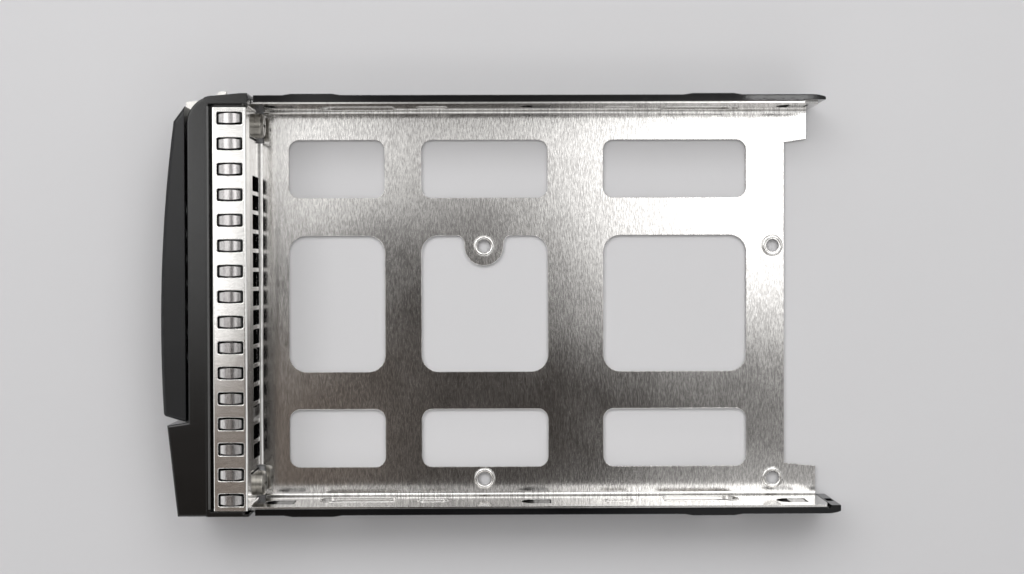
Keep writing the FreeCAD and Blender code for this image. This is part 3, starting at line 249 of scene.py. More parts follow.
class Surface:
    """A material under construction, with the patterns that the finishes share."""

    def __init__(self, name: str) -> None:
        """Makes a material with one main shader and takes each point's place on the object.

        Args:
            name: material name.
        """
        self.material = bpy.data.materials.new(name)
        self.material.use_nodes = True
        self.graph = Graph(self.material.node_tree)
        self.shader = self.graph.tree.nodes["Principled BSDF"]
        self.place = self.graph.node("ShaderNodeTexCoord").outputs["Object"]
        parts = self.graph.node("ShaderNodeSeparateXYZ", {}, {0: self.place})
        self.x, self.y, self.z = (Signal(self.graph, output) for output in parts.outputs)

    def noise(self, pitch: Triple, detail: float, rough: float) -> Signal:
        """Cloudy pattern stretched along the axes.

        Args:
            pitch: size of the pattern along x, y and z, in metres.
            detail: octaves of finer pattern.
            rough: weight of the finer octaves.

        Returns:
            The pattern, about 0..1 with its middle at 0.5.
        """
        scale = tuple(1.0 / size for size in pitch)
        stretch = self.graph.node("ShaderNodeVectorMath", {"operation": "MULTIPLY"},
                                  {0: self.place, 1: scale})
        cloud = self.graph.node("ShaderNodeTexNoise", {},
                                {"Vector": stretch.outputs[0], "Scale": 1.0,
                                 "Detail": detail, "Roughness": rough})
        return Signal(self.graph, cloud.outputs["Fac"])

    def give(self, inputs: dict[str, Value]) -> None:
        """Gives the main shader's inputs their values or patterns, by name."""
        for name, value in inputs.items():
            self.graph.feed(self.shader.inputs[name], value)

    def tint(self, dark: Colour, light: Colour, amount: Signal) -> None:
        """Colours the surface between two tones.

        Args:
            dark: colour where the amount is 0.
            light: colour where the amount is 1.
            amount: where to be between them.
        """
        mix = self.graph.node("ShaderNodeMix", {"data_type": "RGBA"},
                              {"Factor": amount, MIX_DARK: (*dark, 1.0), MIX_LIGHT: (*light, 1.0)})
        self.give({"Base Color": mix.outputs[MIX_RESULT]})

    def shine(self, red: Signal, green: Signal, blue: Signal) -> None:
        """Lets three patterns set the colour that the surface gives off."""
        join = self.graph.node("ShaderNodeCombineColor", {}, {0: red, 1: green, 2: blue})
        self.give({"Emission Color": join.outputs[0]})

    def relief(self, height: Signal, depth: float, edge: float) -> None:
        """Gives the surface a fine relief and softly rounded edges.

        Args:
            height: pattern of heights, 0..1.
            depth: height of the pattern, in metres.
            edge: radius that the edges seem to have, in metres.
        """
        rounded = self.graph.node("ShaderNodeBevel", {"samples": EDGE_SAMPLES}, {"Radius": edge})
        bump = self.graph.node("ShaderNodeBump", {},
                               {"Strength": 1.0, "Distance": depth,
                                "Height": height, "Normal": rounded.outputs[0]})
        self.give({"Normal": bump.outputs[0]})


@dataclass(frozen=True)
class BrushedMetal:
    """Metal with fine parallel grain, coarser streaks and slight clouds.

    Attributes:
        dark: tone of the deeper grain.
        light: tone of the higher grain.
        grain: pitch of the grain along x, y and z, in metres.
        rough_low: smoothest roughness.
        rough_high: roughest roughness.
        depth: depth of the grain, in metres.
        edge: seeming edge radius, in metres.
        calm: height over which the grain is fainter, in metres.
        calm_rise: height in which it gets so, in metres.
        still: x in front of which the grain is fainter, in metres.
        still_run: length in which it gets so, in metres.
        streak: how many times coarser than the grain the streaks are.
        cloud: pitch of the clouds along x, y and z, in metres.
    """

    dark: Colour
    light: Colour
    grain: Triple
    rough_low: float
    rough_high: float
    depth: float
    edge: float
    calm: float = 1.0
    calm_rise: float = 0.0012
    still: float = -1.0
    still_run: float = 0.02
    streak: float = 3.2
    cloud: Triple = (0.021, 0.017, 0.019)

    def make(self, name: str) -> bpy.types.Material:
        """Builds the material.

        Args:
            name: material name.

        Returns:
            The material.
        """
        skin = Surface(name)
        grain = skin.noise(self.grain, detail=3.0, rough=0.6)
        weight = 1.0 - 0.75 * skin.z.between(self.calm, self.calm + self.calm_rise)
        weight = weight * (0.3 + 0.7 * skin.x.between(self.still, self.still + self.still_run))
        grain = 0.5 + weight * (grain - 0.5)
        streaks = skin.noise(tuple(size * self.streak for size in self.grain), detail=2.0, rough=0.5)
        clouds = skin.noise(self.cloud, detail=3.0, rough=0.55)
        tone = 0.72 * grain + 0.1 * streaks + 0.18 * clouds
        skin.tint(self.dark, self.light, tone.between(0.36, 0.64))
        wear = (0.4 * streaks + 0.6 * clouds).between(0.3, 0.7)
        rough = self.rough_low + (self.rough_high - self.rough_low) * wear
        skin.give({"Roughness": rough, "Metallic": 1.0})
        skin.relief(0.85 * grain + 0.15 * streaks, self.depth, self.edge)
        return skin.material


@dataclass(frozen=True)
class SprungMetal:
    """Spring steel in its own tone on the bowed crowns, with painted shade that darkens it in the depth
    under the channel.

    Attributes:
        shade_tone: painted shade, the dark tone in the depth under the channel.
        light: tone of the crowns.
        grain: pitch of the grain along x, y and z, in metres.
        depth: depth of the grain, in metres.
        low: height under which the painted shade is full, in metres.
        high: height over which there is no painted shade, in metres.
        edge: seeming edge radius, in metres.
    """

    shade_tone: Colour
    light: Colour
    grain: Triple
    depth: float
    low: float
    high: float
    edge: float = 0.00006

    def make(self, name: str) -> bpy.types.Material:
        """Builds the material.

        Args:
            name: material name.

        Returns:
            The material.
        """
        skin = Surface(name)
        grain = skin.noise(self.grain, detail=3.0, rough=0.6)
        shine = 0.8 + 0.2 * grain.between(0.3, 0.7)
        # Painted shade: under the channel's top the steel is tinted towards the dark shade tone, where shade
        # falls in the depth.
        skin.tint(self.shade_tone, self.light, shine * skin.z.between(self.low, self.high))
        skin.give({"Roughness": 0.16 + 0.12 * grain, "Metallic": 1.0})
        skin.relief(grain, self.depth, self.edge)
        return skin.material


@dataclass(frozen=True)
class Moulding:
    """Moulded plastic with a fine texture and slight flow marks.

    Attributes:
        dark: darker tone.
        light: lighter tone.
        rough: mean roughness.
        spread: how far the roughness varies.
        texture: pitch of the texture, in metres.
        depth: depth of the texture, in metres.
        edge: seeming edge radius, in metres.
        shine: strength of the surface's mirror part, 0.5 for common plastic.
        flow: pitch of the flow marks along x, y and z, in metres.
    """

    dark: Colour
    light: Colour
    rough: float
    spread: float
    texture: float
    depth: float
    edge: float
    shine: float = 0.5
    flow: Triple = (0.030, 0.012, 0.016)

    def make(self, name: str) -> bpy.types.Material:
        """Builds the material.

        Args:
            name: material name.

        Returns:
            The material.
        """
        skin = Surface(name)
        speck = skin.noise((self.texture,) * 3, detail=2.0, rough=0.6)
        flow = skin.noise(self.flow, detail=3.0, rough=0.5)
        skin.tint(self.dark, self.light, (0.35 * speck + 0.65 * flow).between(0.32, 0.68))
        rough = self.rough + self.spread * (flow - 0.5) + 0.4 * self.spread * (speck - 0.5)
        skin.give({"Roughness": rough, "Specular IOR Level": self.shine})
        skin.relief(speck, self.depth, self.edge)
        return skin.material


@dataclass(frozen=True)
class TurnedMetal:
    """Plated screw metal with faint turned rings about two axes along x.

    Attributes:
        dark: darker tone.
        light: lighter tone.
        side: distance of both axes from the middle, in metres.
        height: height of both axes, in metres.
        ring: ring spacing, in metres.
        cloud: pitch of the clouds, in metres.
        depth: depth of the rings, in metres.
        edge: seeming edge radius, in metres.
    """

    dark: Colour
    light: Colour
    side: float
    height: float
    ring: float
    cloud: float = 0.0011
    depth: float = 0.000006
    edge: float = 0.00012

    def make(self, name: str) -> bpy.types.Material:
        """Builds the material. Rings follow sin(2 pi r / ring), with r the distance from the axis.

        Args:
            name: material name.

        Returns:
            The material.
        """
        skin = Surface(name)
        across = abs(skin.y) - self.side
        up = skin.z - self.height
        reach = (across * across + up * up) ** 0.5
        rings = 0.5 + 0.5 * (reach * (2 * np.pi / self.ring)).sine()
        clouds = skin.noise((self.cloud,) * 3, detail=3.0, rough=0.6)
        skin.tint(self.dark, self.light, 0.4 * rings + 0.6 * clouds)
        skin.give({"Roughness": 0.2 + 0.18 * clouds + 0.05 * rings, "Metallic": 1.0})
        skin.relief(0.6 * rings + 0.4 * clouds, self.depth, self.edge)
        return skin.material


@dataclass(frozen=True)
class ClearPlastic:
    """Clear plastic with polished faces and faint haze.

    Attributes:
        dark: tone of the haze.
        light: tone of the clear plastic.
        haze: pitch of the haze along x, y and z, in metres.
        clear: share of the light that goes through.
        bend: how strongly it bends light.
        depth: depth of the haze, in metres.
        edge: seeming edge radius, in metres.
    """

    dark: Colour
    light: Colour
    haze: Triple = (0.004, 0.0006, 0.0008)
    clear: float = 0.85
    bend: float = 1.49
    depth: float = 0.00001
    edge: float = 0.0001

    def make(self, name: str) -> bpy.types.Material:
        """Builds the material.

        Args:
            name: material name.

        Returns:
            The material.
        """
        skin = Surface(name)
        haze = skin.noise(self.haze, detail=3.0, rough=0.55)
        skin.tint(self.dark, self.light, haze.between(0.3, 0.7))
        skin.give({"Roughness": 0.05 + 0.12 * haze, "Transmission Weight": self.clear, "IOR": self.bend})
        skin.relief(haze, self.depth, self.edge)
        return skin.material


Finish = Union[BrushedMetal, SprungMetal, Moulding, TurnedMetal, ClearPlastic]

FINISHES: dict[str, Finish] = {
    "tray_sheet": BrushedMetal(
        dark=(0.43, 0.42, 0.41), light=(0.79, 0.78, 0.76), grain=(0.00020, 0.00125, 0.00125),
        rough_low=0.10, rough_high=0.14, depth=0.000012, edge=0.00016, calm=0.0012, still=-0.082),
    "emi_shield": BrushedMetal(
        dark=(0.78, 0.77, 0.75), light=(0.88, 0.87, 0.85), grain=(0.0011, 0.00030, 0.0011),
        rough_low=0.11, rough_high=0.16, depth=0.000002, edge=0.00015),
    # The spring strip's dark tone and its two heights paint shade in the depth under the channel.
    "emi_spring_strip": SprungMetal(
        shade_tone=(0.03, 0.03, 0.03), light=(0.48, 0.466, 0.462), grain=(0.00025, 0.0010, 0.0010),
        depth=0.000003, low=0.02472, high=0.02502),
    "lever_plate": BrushedMetal(
        dark=(0.48, 0.47, 0.45), light=(0.62, 0.61, 0.585), grain=(0.0004, 0.0016, 0.0004),
        rough_low=0.32, rough_high=0.42, depth=0.000003, edge=0.00015),
    "hinge_pin": BrushedMetal(
        dark=(0.58, 0.58, 0.57), light=(0.70, 0.70, 0.69), grain=(0.0015, 0.0015, 0.00018),
        rough_low=0.14, rough_high=0.22, depth=0.000002, edge=0.0001),
    "release_spring": BrushedMetal(
        dark=(0.54, 0.54, 0.53), light=(0.70, 0.70, 0.69), grain=(0.0006, 0.0006, 0.0006),
        rough_low=0.15, rough_high=0.26, depth=0.000002, edge=0.00005),
    "bezel_screws": TurnedMetal(
        dark=(0.10, 0.095, 0.085), light=(0.40, 0.385, 0.35), side=0.0467, height=0.006, ring=0.00032),
    "side_rail_left": Moulding(
        dark=(0.003, 0.003, 0.0035), light=(0.006, 0.006, 0.0065), rough=0.035, spread=0.03,
        texture=0.0012, depth=0.000002, edge=0.00020, shine=0.32),
    "side_rail_right": Moulding(
        dark=(0.003, 0.003, 0.0035), light=(0.006, 0.006, 0.0065), rough=0.05, spread=0.04,
        texture=0.0012, depth=0.000002, edge=0.00020, shine=0.25),
    "front_bezel": Moulding(
        dark=(0.0015, 0.0015, 0.0015), light=(0.0032, 0.0031, 0.0030), rough=0.17, spread=0.06,
        texture=0.00035, depth=0.000009, edge=0.00030, shine=0.55),
    # The ridge's grey, much lighter than the bezel's black, is a painted highlight along the ridge.
    "bezel_ridge": Moulding(
        dark=(0.045, 0.045, 0.045), light=(0.070, 0.069, 0.068), rough=0.20, spread=0.06,
        texture=0.00035, depth=0.000002, edge=0.00002, shine=0.60),
    "lever_handle": Moulding(
        dark=(0.0040, 0.0042, 0.0048), light=(0.0062, 0.0065, 0.0073), rough=0.30, spread=0.08,
        texture=0.00032, depth=0.000016, edge=0.00030, shine=0.35),
    "release_slider": Moulding(
        dark=(0.007, 0.007, 0.0072), light=(0.012, 0.012, 0.0123), rough=0.40, spread=0.10,
        texture=0.00035, depth=0.000010, edge=0.00020),
    "light_guide_upper": ClearPlastic(dark=(0.72, 0.74, 0.76), light=(0.88, 0.90, 0.92)),
    "light_guide_lower": ClearPlastic(dark=(0.72, 0.74, 0.76), light=(0.88, 0.90, 0.92)),
}


@dataclass(frozen=True)
class Bead:
    """A thin rounded line of material along a path.

    Attributes:
        spots: points of the path, in mm.
        across: direction across the path at each point.
        up: direction away from the face.
        wide: half of the bead's width, in mm.
        tall: height of the bead over its path, in mm.
        closed: whether the path ends where it starts.
    """

    spots: np.ndarray
    across: np.ndarray
    up: Triple
    wide: float
    tall: float
    closed: bool = True

    def surface(self) -> tuple[np.ndarray, np.ndarray]:
        """Sweeps the section p(b) = spot + wide cos b across + tall sin b up, with b once round.

        Returns:
            Points in metres, and the four corners of each face.
        """
        turn = np.linspace(0, 2 * np.pi, BEAD_SIDES, endpoint=False)
        flat = self.wide * np.cos(turn)[None, :, None] * self.across[:, None, :]
        high = self.tall * np.sin(turn)[None, :, None] * np.array(self.up)[None, None, :]
        points = (self.spots[:, None, :] + flat + high).reshape(-1, 3) * MM
        here = np.arange(len(self.spots) if self.closed else len(self.spots) - 1)
        there = (here + 1) % len(self.spots)
        side = np.arange(BEAD_SIDES)
        beside = (side + 1) % BEAD_SIDES
        corners = [here[:, None] * BEAD_SIDES + side, there[:, None] * BEAD_SIDES + side,
                   there[:, None] * BEAD_SIDES + beside, here[:, None] * BEAD_SIDES + beside]
        return points, np.stack(corners, axis=-1).reshape(-1, 4)


def join_beads(name: str, beads: list[Bead]) -> bpy.types.Object:
    """Makes one object of several beads.

    Args:
        name: object name.
        beads: the beads.

    Returns:
        The object.
    """
    points: list[np.ndarray] = []
    faces: list[np.ndarray] = []
    first = 0
    for bead in beads:
        spots, corners = bead.surface()
        points.append(spots)
        faces.append(corners + first)
        first += len(spots)
    mesh = bpy.data.meshes.new(name)
    mesh.from_pydata(np.concatenate(points).tolist(), [], np.concatenate(faces).tolist())
    mesh.shade_smooth()
    piece = bpy.data.objects.new(name, mesh)
    bpy.context.scene.collection.objects.link(piece)
    return piece


def seat(piece: bpy.types.Object, finish: bpy.types.Material) -> None:
    """Gives a piece its finish and lets it ride on the tray.

    Args:
        piece: the piece.
        finish: its material.
    """
    piece.data.materials.append(finish)
    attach(piece, "tray")


def arc(x: float, y: float, radius: float, first: float, last: float,
        metal: Metal = Metal.OUTSIDE) -> np.ndarray:
    """Points on an arc, p = (x, y) + radius (cos a, sin a).

    Args:
        x: centre's x.
        y: centre's y.
        radius: radius.
        first: first angle, in degrees.
        last: last angle, in degrees.
        metal: where the metal lies.

    Returns:
        Rows of x, y, then the direction into the metal.
    """
    turn = np.radians(np.linspace(first, last, ARC_POINTS))
    way = np.stack([np.cos(turn), np.sin(turn)], axis=-1)
    return np.concatenate([np.array([[x, y]]) + radius * way, metal.value * way], axis=-1)


def rounded_loop(x0: float, x1: float, y0: float, y1: float, low: float, high: float) -> list[np.ndarray]:
    """The four corner arcs of a rounded rectangle, from the corner at high x and high y on.

    Args:
        x0: low x.
        x1: high x.
        y0: low y.
        y1: high y.
        low: corner radius at the low x.
        high: corner radius at the high x.

    Returns:
        The arcs in order. Straight lines join them.
    """
    centres = [(x1 - high, y1 - high, high), (x0 + low, y1 - low, low),
               (x0 + low, y0 + low, low), (x1 - high, y0 + high, high)]
    arcs = []
    for number, centre in enumerate(centres):
        arcs.append(arc(*centre, QUARTER_TURN * number, QUARTER_TURN * (number + 1)))
    return arcs


def flat_bead(plan: np.ndarray, level: float, wide: float, tall: float) -> Bead:
    """A bead that lies level.

    Args:
        plan: rows of x, y, then the direction across.
        level: height of the path, in mm.
        wide: half of the bead's width, in mm.
        tall: height of the bead, in mm.

    Returns:
        The bead.
    """
    height = np.full((len(plan), 1), level)
    spots = np.concatenate([plan[:, :2], height], axis=1)
    across = np.concatenate([plan[:, 2:], 0 * height], axis=1)
    return Bead(spots, across, UPWARDS, wide, tall)


@dataclass
class StampedEdges:
    """Rounded rims that the stamping leaves on windows, small-drive holes, dents and drawn pads.

    Attributes:
        columns: front and rear x of each column of windows, in mm.
        rows: low and high y of each row, with its corner radius, in mm.
        tongue_window: column and row of the window that the tongue stands in.
        tongue: x and y of the tongue's round end, its radius and the radius of its root, in mm.
        top: height of the base's upper face, in mm.
        rim: half width and height of a window's rim, in mm.
        holes: x and y of the holes, in mm.
        ring: radius, half width, height and level of the ring round a hole, in mm.
        ring_halves: first and last angle of the points on each half of a ring, in degrees.
        dents: low and high x of each dent, in mm.
        dent_heights: low and high z of the dents and their corner radius, in mm.
        pads: low and high x of each drawn pad's hollow, with its corner radius at either end, in mm.
        pad_heights: low and high z of the hollows, in mm.
        wall: distance of the walls' inner faces from the middle, in mm.
        crease: half width and height of the rim of a dent or a hollow, in mm.
    """

    columns: tuple[Pair, ...] = ((-75.95, -50.5), (-40.9, -7.3), (7.3, 45.35))
    rows: tuple[Triple, ...] = ((28.0, 43.4, 2.8), (-18.13, 18.13, 4.6), (-43.4, -28.0, 2.8))
    tongue_window: tuple[int, int] = (1, 1)
    tongue: Four = (-24.3, 15.22, 5.1, 2.2)
    top: float = 0.8
    rim: Pair = (0.06, 0.06)
    holes: tuple[Pair, ...] = ((-24.3, 15.22), (-24.3, -46.5), (52.3, 15.22), (52.3, -46.5))
    ring: Four = (2.28, 0.45, 0.22, 1.2)
    ring_halves: tuple[Pair, ...] = ((0, 174), (180, 354))
    dents: tuple[Pair, ...] = ((-41.5, -33.7), (6.7, 14.5))
    dent_heights: Triple = (8.6, 12.0, 1.4)
    pads: tuple[Four, ...] = ((-67.2, -47.5, 3.7, 0.8), (22.5, 42.2, 0.8, 3.7))
    pad_heights: Pair = (3.75, 11.55)
    wall: float = 51.0
    crease: Pair = (0.22, 0.16)

    def window(self, column: int, row: int) -> np.ndarray:
        """The outline of one window. The middle one goes round the tongue.

        Args:
            column: number of the column.
            row: number of the row.

        Returns:
            Rows of x, y, then the direction into the metal.
        """
        start, end = self.columns[column]
        low, high, radius = self.rows[row]
        arcs = rounded_loop(start, end, low, high, radius, radius)
        if (column, row) == self.tongue_window:
            x, y, reach, root = self.tongue
            arcs[1:1] = [arc(x + reach + root, high - root, root, QUARTER_TURN, 2 * QUARTER_TURN),
                         arc(x, y, reach, 0, -2 * QUARTER_TURN, Metal.INSIDE),
                         arc(x - reach - root, high - root, root, 0, QUARTER_TURN)]
        return np.concatenate(arcs)

    def wall_bead(self, plan: np.ndarray, side: Side) -> Bead:
        """A bead that lies on the inner face of a wall.

        Args:
            plan: rows of x, z, then the direction across.
            side: the wall's side.

        Returns:
            The bead.
        """
        depth = np.full(len(plan), side.value * self.wall)
        spots = np.stack([plan[:, 0], depth, plan[:, 1]], axis=-1)
        across = np.stack([plan[:, 2], 0 * depth, plan[:, 3]], axis=-1)
        return Bead(spots, across, (0.0, -side.value, 0.0), *self.crease)

    def build(self) -> list[bpy.types.Object]:
        """Lays beads along all edges.

        Returns:
            The rims of the windows, of the holes, and of the dents and hollows in the walls.
        """
        rims = []
        for column in range(len(self.columns)):
            for row in range(len(self.rows)):
                rims.append(flat_bead(self.window(column, row), self.top, *self.rim))
        rings = []
        radius, wide, tall, level = self.ring
        for x, y in self.holes:
            halves = [arc(x, y, radius, *half) for half in self.ring_halves]
            rings.append(flat_bead(np.concatenate(halves), level, wide, tall))
        low, high, corner = self.dent_heights
        outlines = [rounded_loop(*dent, low, high, corner, corner) for dent in self.dents]
        outlines += [rounded_loop(*pad[:2], *self.pad_heights, *pad[2:]) for pad in self.pads]
        creases = []
        for side in Side:
            for outline in outlines:
                creases.append(self.wall_bead(np.concatenate(outline), side))
        return [join_beads("window_rims", rims), join_beads("hole_rims", rings),
                join_beads("wall_rims", creases)]

    @staticmethod
    def dress(pieces: list[bpy.types.Object], finish: bpy.types.Material) -> None:
        """Gives the rims the sheet's own finish."""
        for piece in pieces:
            seat(piece, finish)


@dataclass
class ChannelEdges:
    """Rounded punched edges of the bright channel's windows.

    Attributes:
        x: low and high x of the windows, in mm.
        first: y of the first window's middle, in mm.
        pitch: distance from window to window, in mm.
        count: number of windows.
        half: half of a window's width, in mm.
        corner: radius of a window's corners, in mm.
        top: height of the channel's upper face, in mm.
        rim: radius of the rounded edge, in mm.
    """

    x: Pair = (-90.65, -84.0)
    first: float = 46.875
    pitch: float = 6.35
    count: int = 16
    half: float = 1.7
    corner: float = 0.6
    top: float = 24.8
    rim: float = 0.13

    def build(self) -> bpy.types.Object:
        """Lays a bead along every window, its top level with the channel's face.

        Returns:
            The edges.
        """
        rims = []
        for number in range(self.count):
            middle = self.first - self.pitch * number
            sides = (middle - self.half, middle + self.half)
            plan = np.concatenate(rounded_loop(*self.x, *sides, self.corner, self.corner))
            rims.append(flat_bead(plan, self.top - self.rim, self.rim, self.rim))
        return join_beads("channel_rims", rims)

    @staticmethod
    def dress(piece: bpy.types.Object, finish: bpy.types.Material) -> None:
        """Gives the edges the channel's own finish."""
        seat(piece, finish)


@dataclass
class BezelTrim:
    """The fine ridge of the bezel beside the bright channel.

    Attributes:
        x: place of the ridge, in mm.
        y: low and high y, in mm.
        level: height of the bezel's top there, in mm.
        wide: half of the ridge's width, in mm.
        tall: height of the ridge, in mm.
        points: number of points along it.
    """

    x: float = -92.72
    y: Pair = (-50.6, 49.8)
    level: float = 25.0
    wide: float = 0.30
    tall: float = 0.24
    points: int = 60

    def build(self) -> bpy.types.Object:
        """Lays one straight bead along p(t) = (x, y(t), level), with y(t) evenly from low to high.

        Returns:
            The ridge.
        """
        along = np.linspace(*self.y, self.points)
        spots = np.stack([0 * along + self.x, along, 0 * along + self.level], axis=-1)
        across = np.tile(np.array([ALONG_X]), (self.points, 1))
        ridge = Bead(spots, across, UPWARDS, self.wide, self.tall, closed=False)
        return join_beads("bezel_ridge", [ridge])

    @staticmethod
    def dress(piece: bpy.types.Object, finish: bpy.types.Material) -> None:
        """Gives the ridge its finish, a lighter grey that is a painted highlight along it."""
        seat(piece, finish)


@dataclass
class ReturnCoil:
    """The coil spring behind the thumb slide, built here at one length, though the real one gets shorter as
    the slide moves.

    Attributes:
        axis: x and z of the coil's axis, in mm.
        ends: y of the fixed end and of the free end, in mm.
        radius: from the axis to the middle of the wire, in mm.
        wire: radius of the wire, in mm.
        turns: number of turns.
        points: number of points along the wire.
        travel: how far the thumb slide moves, in mm; not used.
        slack: share of its length that the pressed coil stays clear of the slide; not used.
    """

    axis: Pair = (-97.15, 14.0)
    ends: Pair = (-51.0, -46.2)
    radius: float = 1.5
    wire: float = 0.25
    turns: float = 4.0
    points: int = 160
    travel: float = 2.5
    slack: float = 0.02

    def build(self) -> bpy.types.Object:
        """Winds the wire along p(t) = (x + radius cos a, y(t), z + radius sin a), with a = 2 pi turns t.

        Here y(t) goes evenly from the fixed to the free end, less the wire's radius at both.

        Returns:
            The coil.
        """
        share = np.linspace(0, 1, self.points)
        turn = 2 * np.pi * self.turns * share
        along = self.ends[0] + self.wire + (self.ends[1] - self.ends[0] - 2 * self.wire) * share
        across = np.stack([np.cos(turn), 0 * turn, np.sin(turn)], axis=-1)
        middle = np.stack([0 * turn + self.axis[0], along, 0 * turn + self.axis[1]], axis=-1)
        spots = middle + self.radius * across
        wire = Bead(spots, across, ALONG_Y, self.wire, self.wire, closed=False)
        return join_beads("return_coil", [wire])

    def dress(self, piece: bpy.types.Object, finish: bpy.types.Material) -> None:
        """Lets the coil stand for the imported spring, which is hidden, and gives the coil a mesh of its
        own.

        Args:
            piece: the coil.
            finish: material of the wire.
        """
        seat(piece, finish)
        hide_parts("release_spring")
        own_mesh(piece)


@dataclass
class Tray:
    """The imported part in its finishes.

    Attributes:
        nodes: the part's nodes by name.
    """

    nodes: dict[str, bpy.types.Object]

    def dress(self) -> dict[str, bpy.types.Material]:
        """Puts each node's finish on it.

        Returns:
            The materials by node name.
        """
        made = {}
        for name, node in self.nodes.items():
            made[name] = FINISHES[name].make(name + "_finish")
            node.data.materials.clear()
            node.data.materials.append(made[name])
        return made


def flat_plate(name: str, corners: list[Pair], level: float) -> bpy.types.Object:
    """Makes one flat face at z = level, which faces up where its corners go round to the left.

    Args:
        name: object name.
        corners: x and y of the four corners, in metres.
        level: height of the face, in metres.

    Returns:
        The object.
    """
    mesh = bpy.data.meshes.new(name)
    mesh.from_pydata([(x, y, level) for x, y in corners], [], [(0, 1, 2, 3)])
    plate = bpy.data.objects.new(name, mesh)
    bpy.context.scene.collection.objects.link(plate)
    return plate


def standing(right: Triple, up: Triple, back: Triple, place: Triple) -> Matrix:
    """The stand of a lamp or camera, with its own three directions and its place as columns.

    Args:
        right: its own direction to the right.
        up: its own direction up.
        back: its own direction back, away from what it faces.
        place: its position, in metres.

    Returns:
        The matrix that turns and places it.
    """
    turned = np.eye(4)
    turned[:3] = np.stack([right, up, back, place], axis=-1)
    return Matrix(turned.tolist())


@dataclass(frozen=True)
class Softbox:
    """A flat light beside and over the part, which faces the frame's origin.

    Attributes:
        name: light name.
        centre: place of its middle, in metres.
        size: width and depth, in metres.
        glow: brightness of its face.
    """

    name: str
    centre: Triple
    size: Pair
    glow: float

    def build(self) -> bpy.types.Object:
        """Makes the light. A face of brightness glow gives glow * pi * area watts.

        Returns:
            The light's object.
        """
        lamp = bpy.data.lights.new(self.name, "AREA")
        lamp.shape = "RECTANGLE"
        lamp.size, lamp.size_y = self.size
        lamp.energy = self.glow * np.pi * self.size[0] * self.size[1]
        holder = bpy.data.objects.new(self.name, lamp)
        back = np.array(self.centre) / np.linalg.norm(self.centre)
        right = np.cross(ALONG_Y, back)
        right = right / np.linalg.norm(right)
        holder.matrix_world = standing(right, np.cross(back, right), back, self.centre)
        bpy.context.scene.collection.objects.link(holder)
        return holder


SOFTBOXES = (
    Softbox("far_side", centre=(0.0, 1.5, 0.85), size=(2.0, 1.0), glow=0.9),
    Softbox("right_side", centre=(1.5, 0.1, 0.85), size=(1.0, 1.4), glow=0.4),
    Softbox("left_side", centre=(-1.5, 0.1, 0.85), size=(1.0, 1.4), glow=0.7),
    Softbox("near_side", centre=(0.0, -1.5, 0.85), size=(2.0, 1.0), glow=0.6),
)


@dataclass
class LightPanel:
    """A wide diffuser overhead, brightest over the tray's rear left and dim over its front right.

    Attributes:
        height: height of the panel, in metres.
        x: low and high x, in metres.
        y: low and high y, in metres.
        green_warmth: share of the warmth that green gets.
    """

    height: float = 0.80
    x: Pair = (-0.70, 0.60)
    y: Pair = (-0.60, 0.75)
    green_warmth: float = 0.4

    @staticmethod
    def glow(x: Signal, y: Signal) -> Signal:
        """Brightness over the panel: a sum of fields with soft edges.

        With S(v, a, b) the smooth step of v from 0 at a to 1 at b, each field is a constant times one
        or more steps, so lip = 0.08 S(y, -0.14, -0.17) S(x, -0.10, -0.03). A factor 1 - c S(v, a, b)
        takes the share c away again, and room and roof are sums of two or three such fields.

        Args:
            x: place along the panel, in metres.
            y: place across the panel, in metres.

        Returns:
            The brightness.
        """
        room = 0.05 + 0.09 * x.between(-0.05, -0.17) + 0.22 * x.between(0.05, 0.20)
        key = 2.0 * x.between(-0.03, 0.16) * x.between(0.40, 0.28) * y.between(-0.078, 0.025)
        key = key * (1.0 - 0.9 * y.between(0.132, 0.140) * y.between(0.175, 0.160))
        far = 0.90 * y.between(0.0, 0.125) * (1.0 - 0.75 * y.between(0.131, 0.141))
        far = far * (1.0 - 0.7 * x.between(-0.20, -0.235))
        bar = 0.8 * x.between(-0.198, -0.165) * x.between(-0.105, -0.165) * y.between(0.01, 0.06)
        wing = 2.4 * x.between(-0.212, -0.24) * x.between(-0.27, -0.245)
        wing = wing * y.between(-0.11, 0.0) * y.between(0.16, 0.05)
        flank = 2.6 * x.between(-0.245, -0.27) * y.between(-0.13, 0.16)
        corner = 0.55 * x.between(0.03, 0.14) * y.between(-0.145, -0.18)
        lip = 0.08 * y.between(-0.14, -0.17) * x.between(-0.10, -0.03)
        lamp = 10.0 * x.between(0.168, 0.176) * x.between(0.228, 0.216)
        lamp = lamp * y.between(0.1385, 0.1395) * y.between(0.1445, 0.1432)
        roof = 2.0 * y.between(0.21, 0.30) + 0.9 * y.between(-0.26, -0.36)
        return room + key + far + bar + wing + flank + corner + lip + lamp + roof

    @staticmethod
    def warmth(x: Signal, y: Signal) -> Signal:
        """Returns the brightness to add to red, a little more at the panel's dim end."""
        return 0.013 + 0.04 * x.between(-0.08, -0.17) * y.between(0.0, -0.09)

    def build(self) -> bpy.types.Object:
        """Makes the panel, facing down and not seen by the camera itself.

        Returns:
            The panel.
        """
        (left, right), (near, far) = self.x, self.y
        corners = [(left, near), (left, far), (right, far), (right, near)]
        panel = flat_plate("light_panel", corners, self.height)
        panel.visible_camera = False
        skin = Surface("light_panel_finish")
        glow = self.glow(skin.x, skin.y)
        warmth = self.warmth(skin.x, skin.y)
        skin.shine(glow + warmth, glow + self.green_warmth * warmth, glow)
        skin.give({"Base Color": BLACK, "Roughness": 1.0, "Specular IOR Level": 0.0})
        skin.give({"Emission Strength": 1.0})
        panel.data.materials.append(skin.material)
        return panel


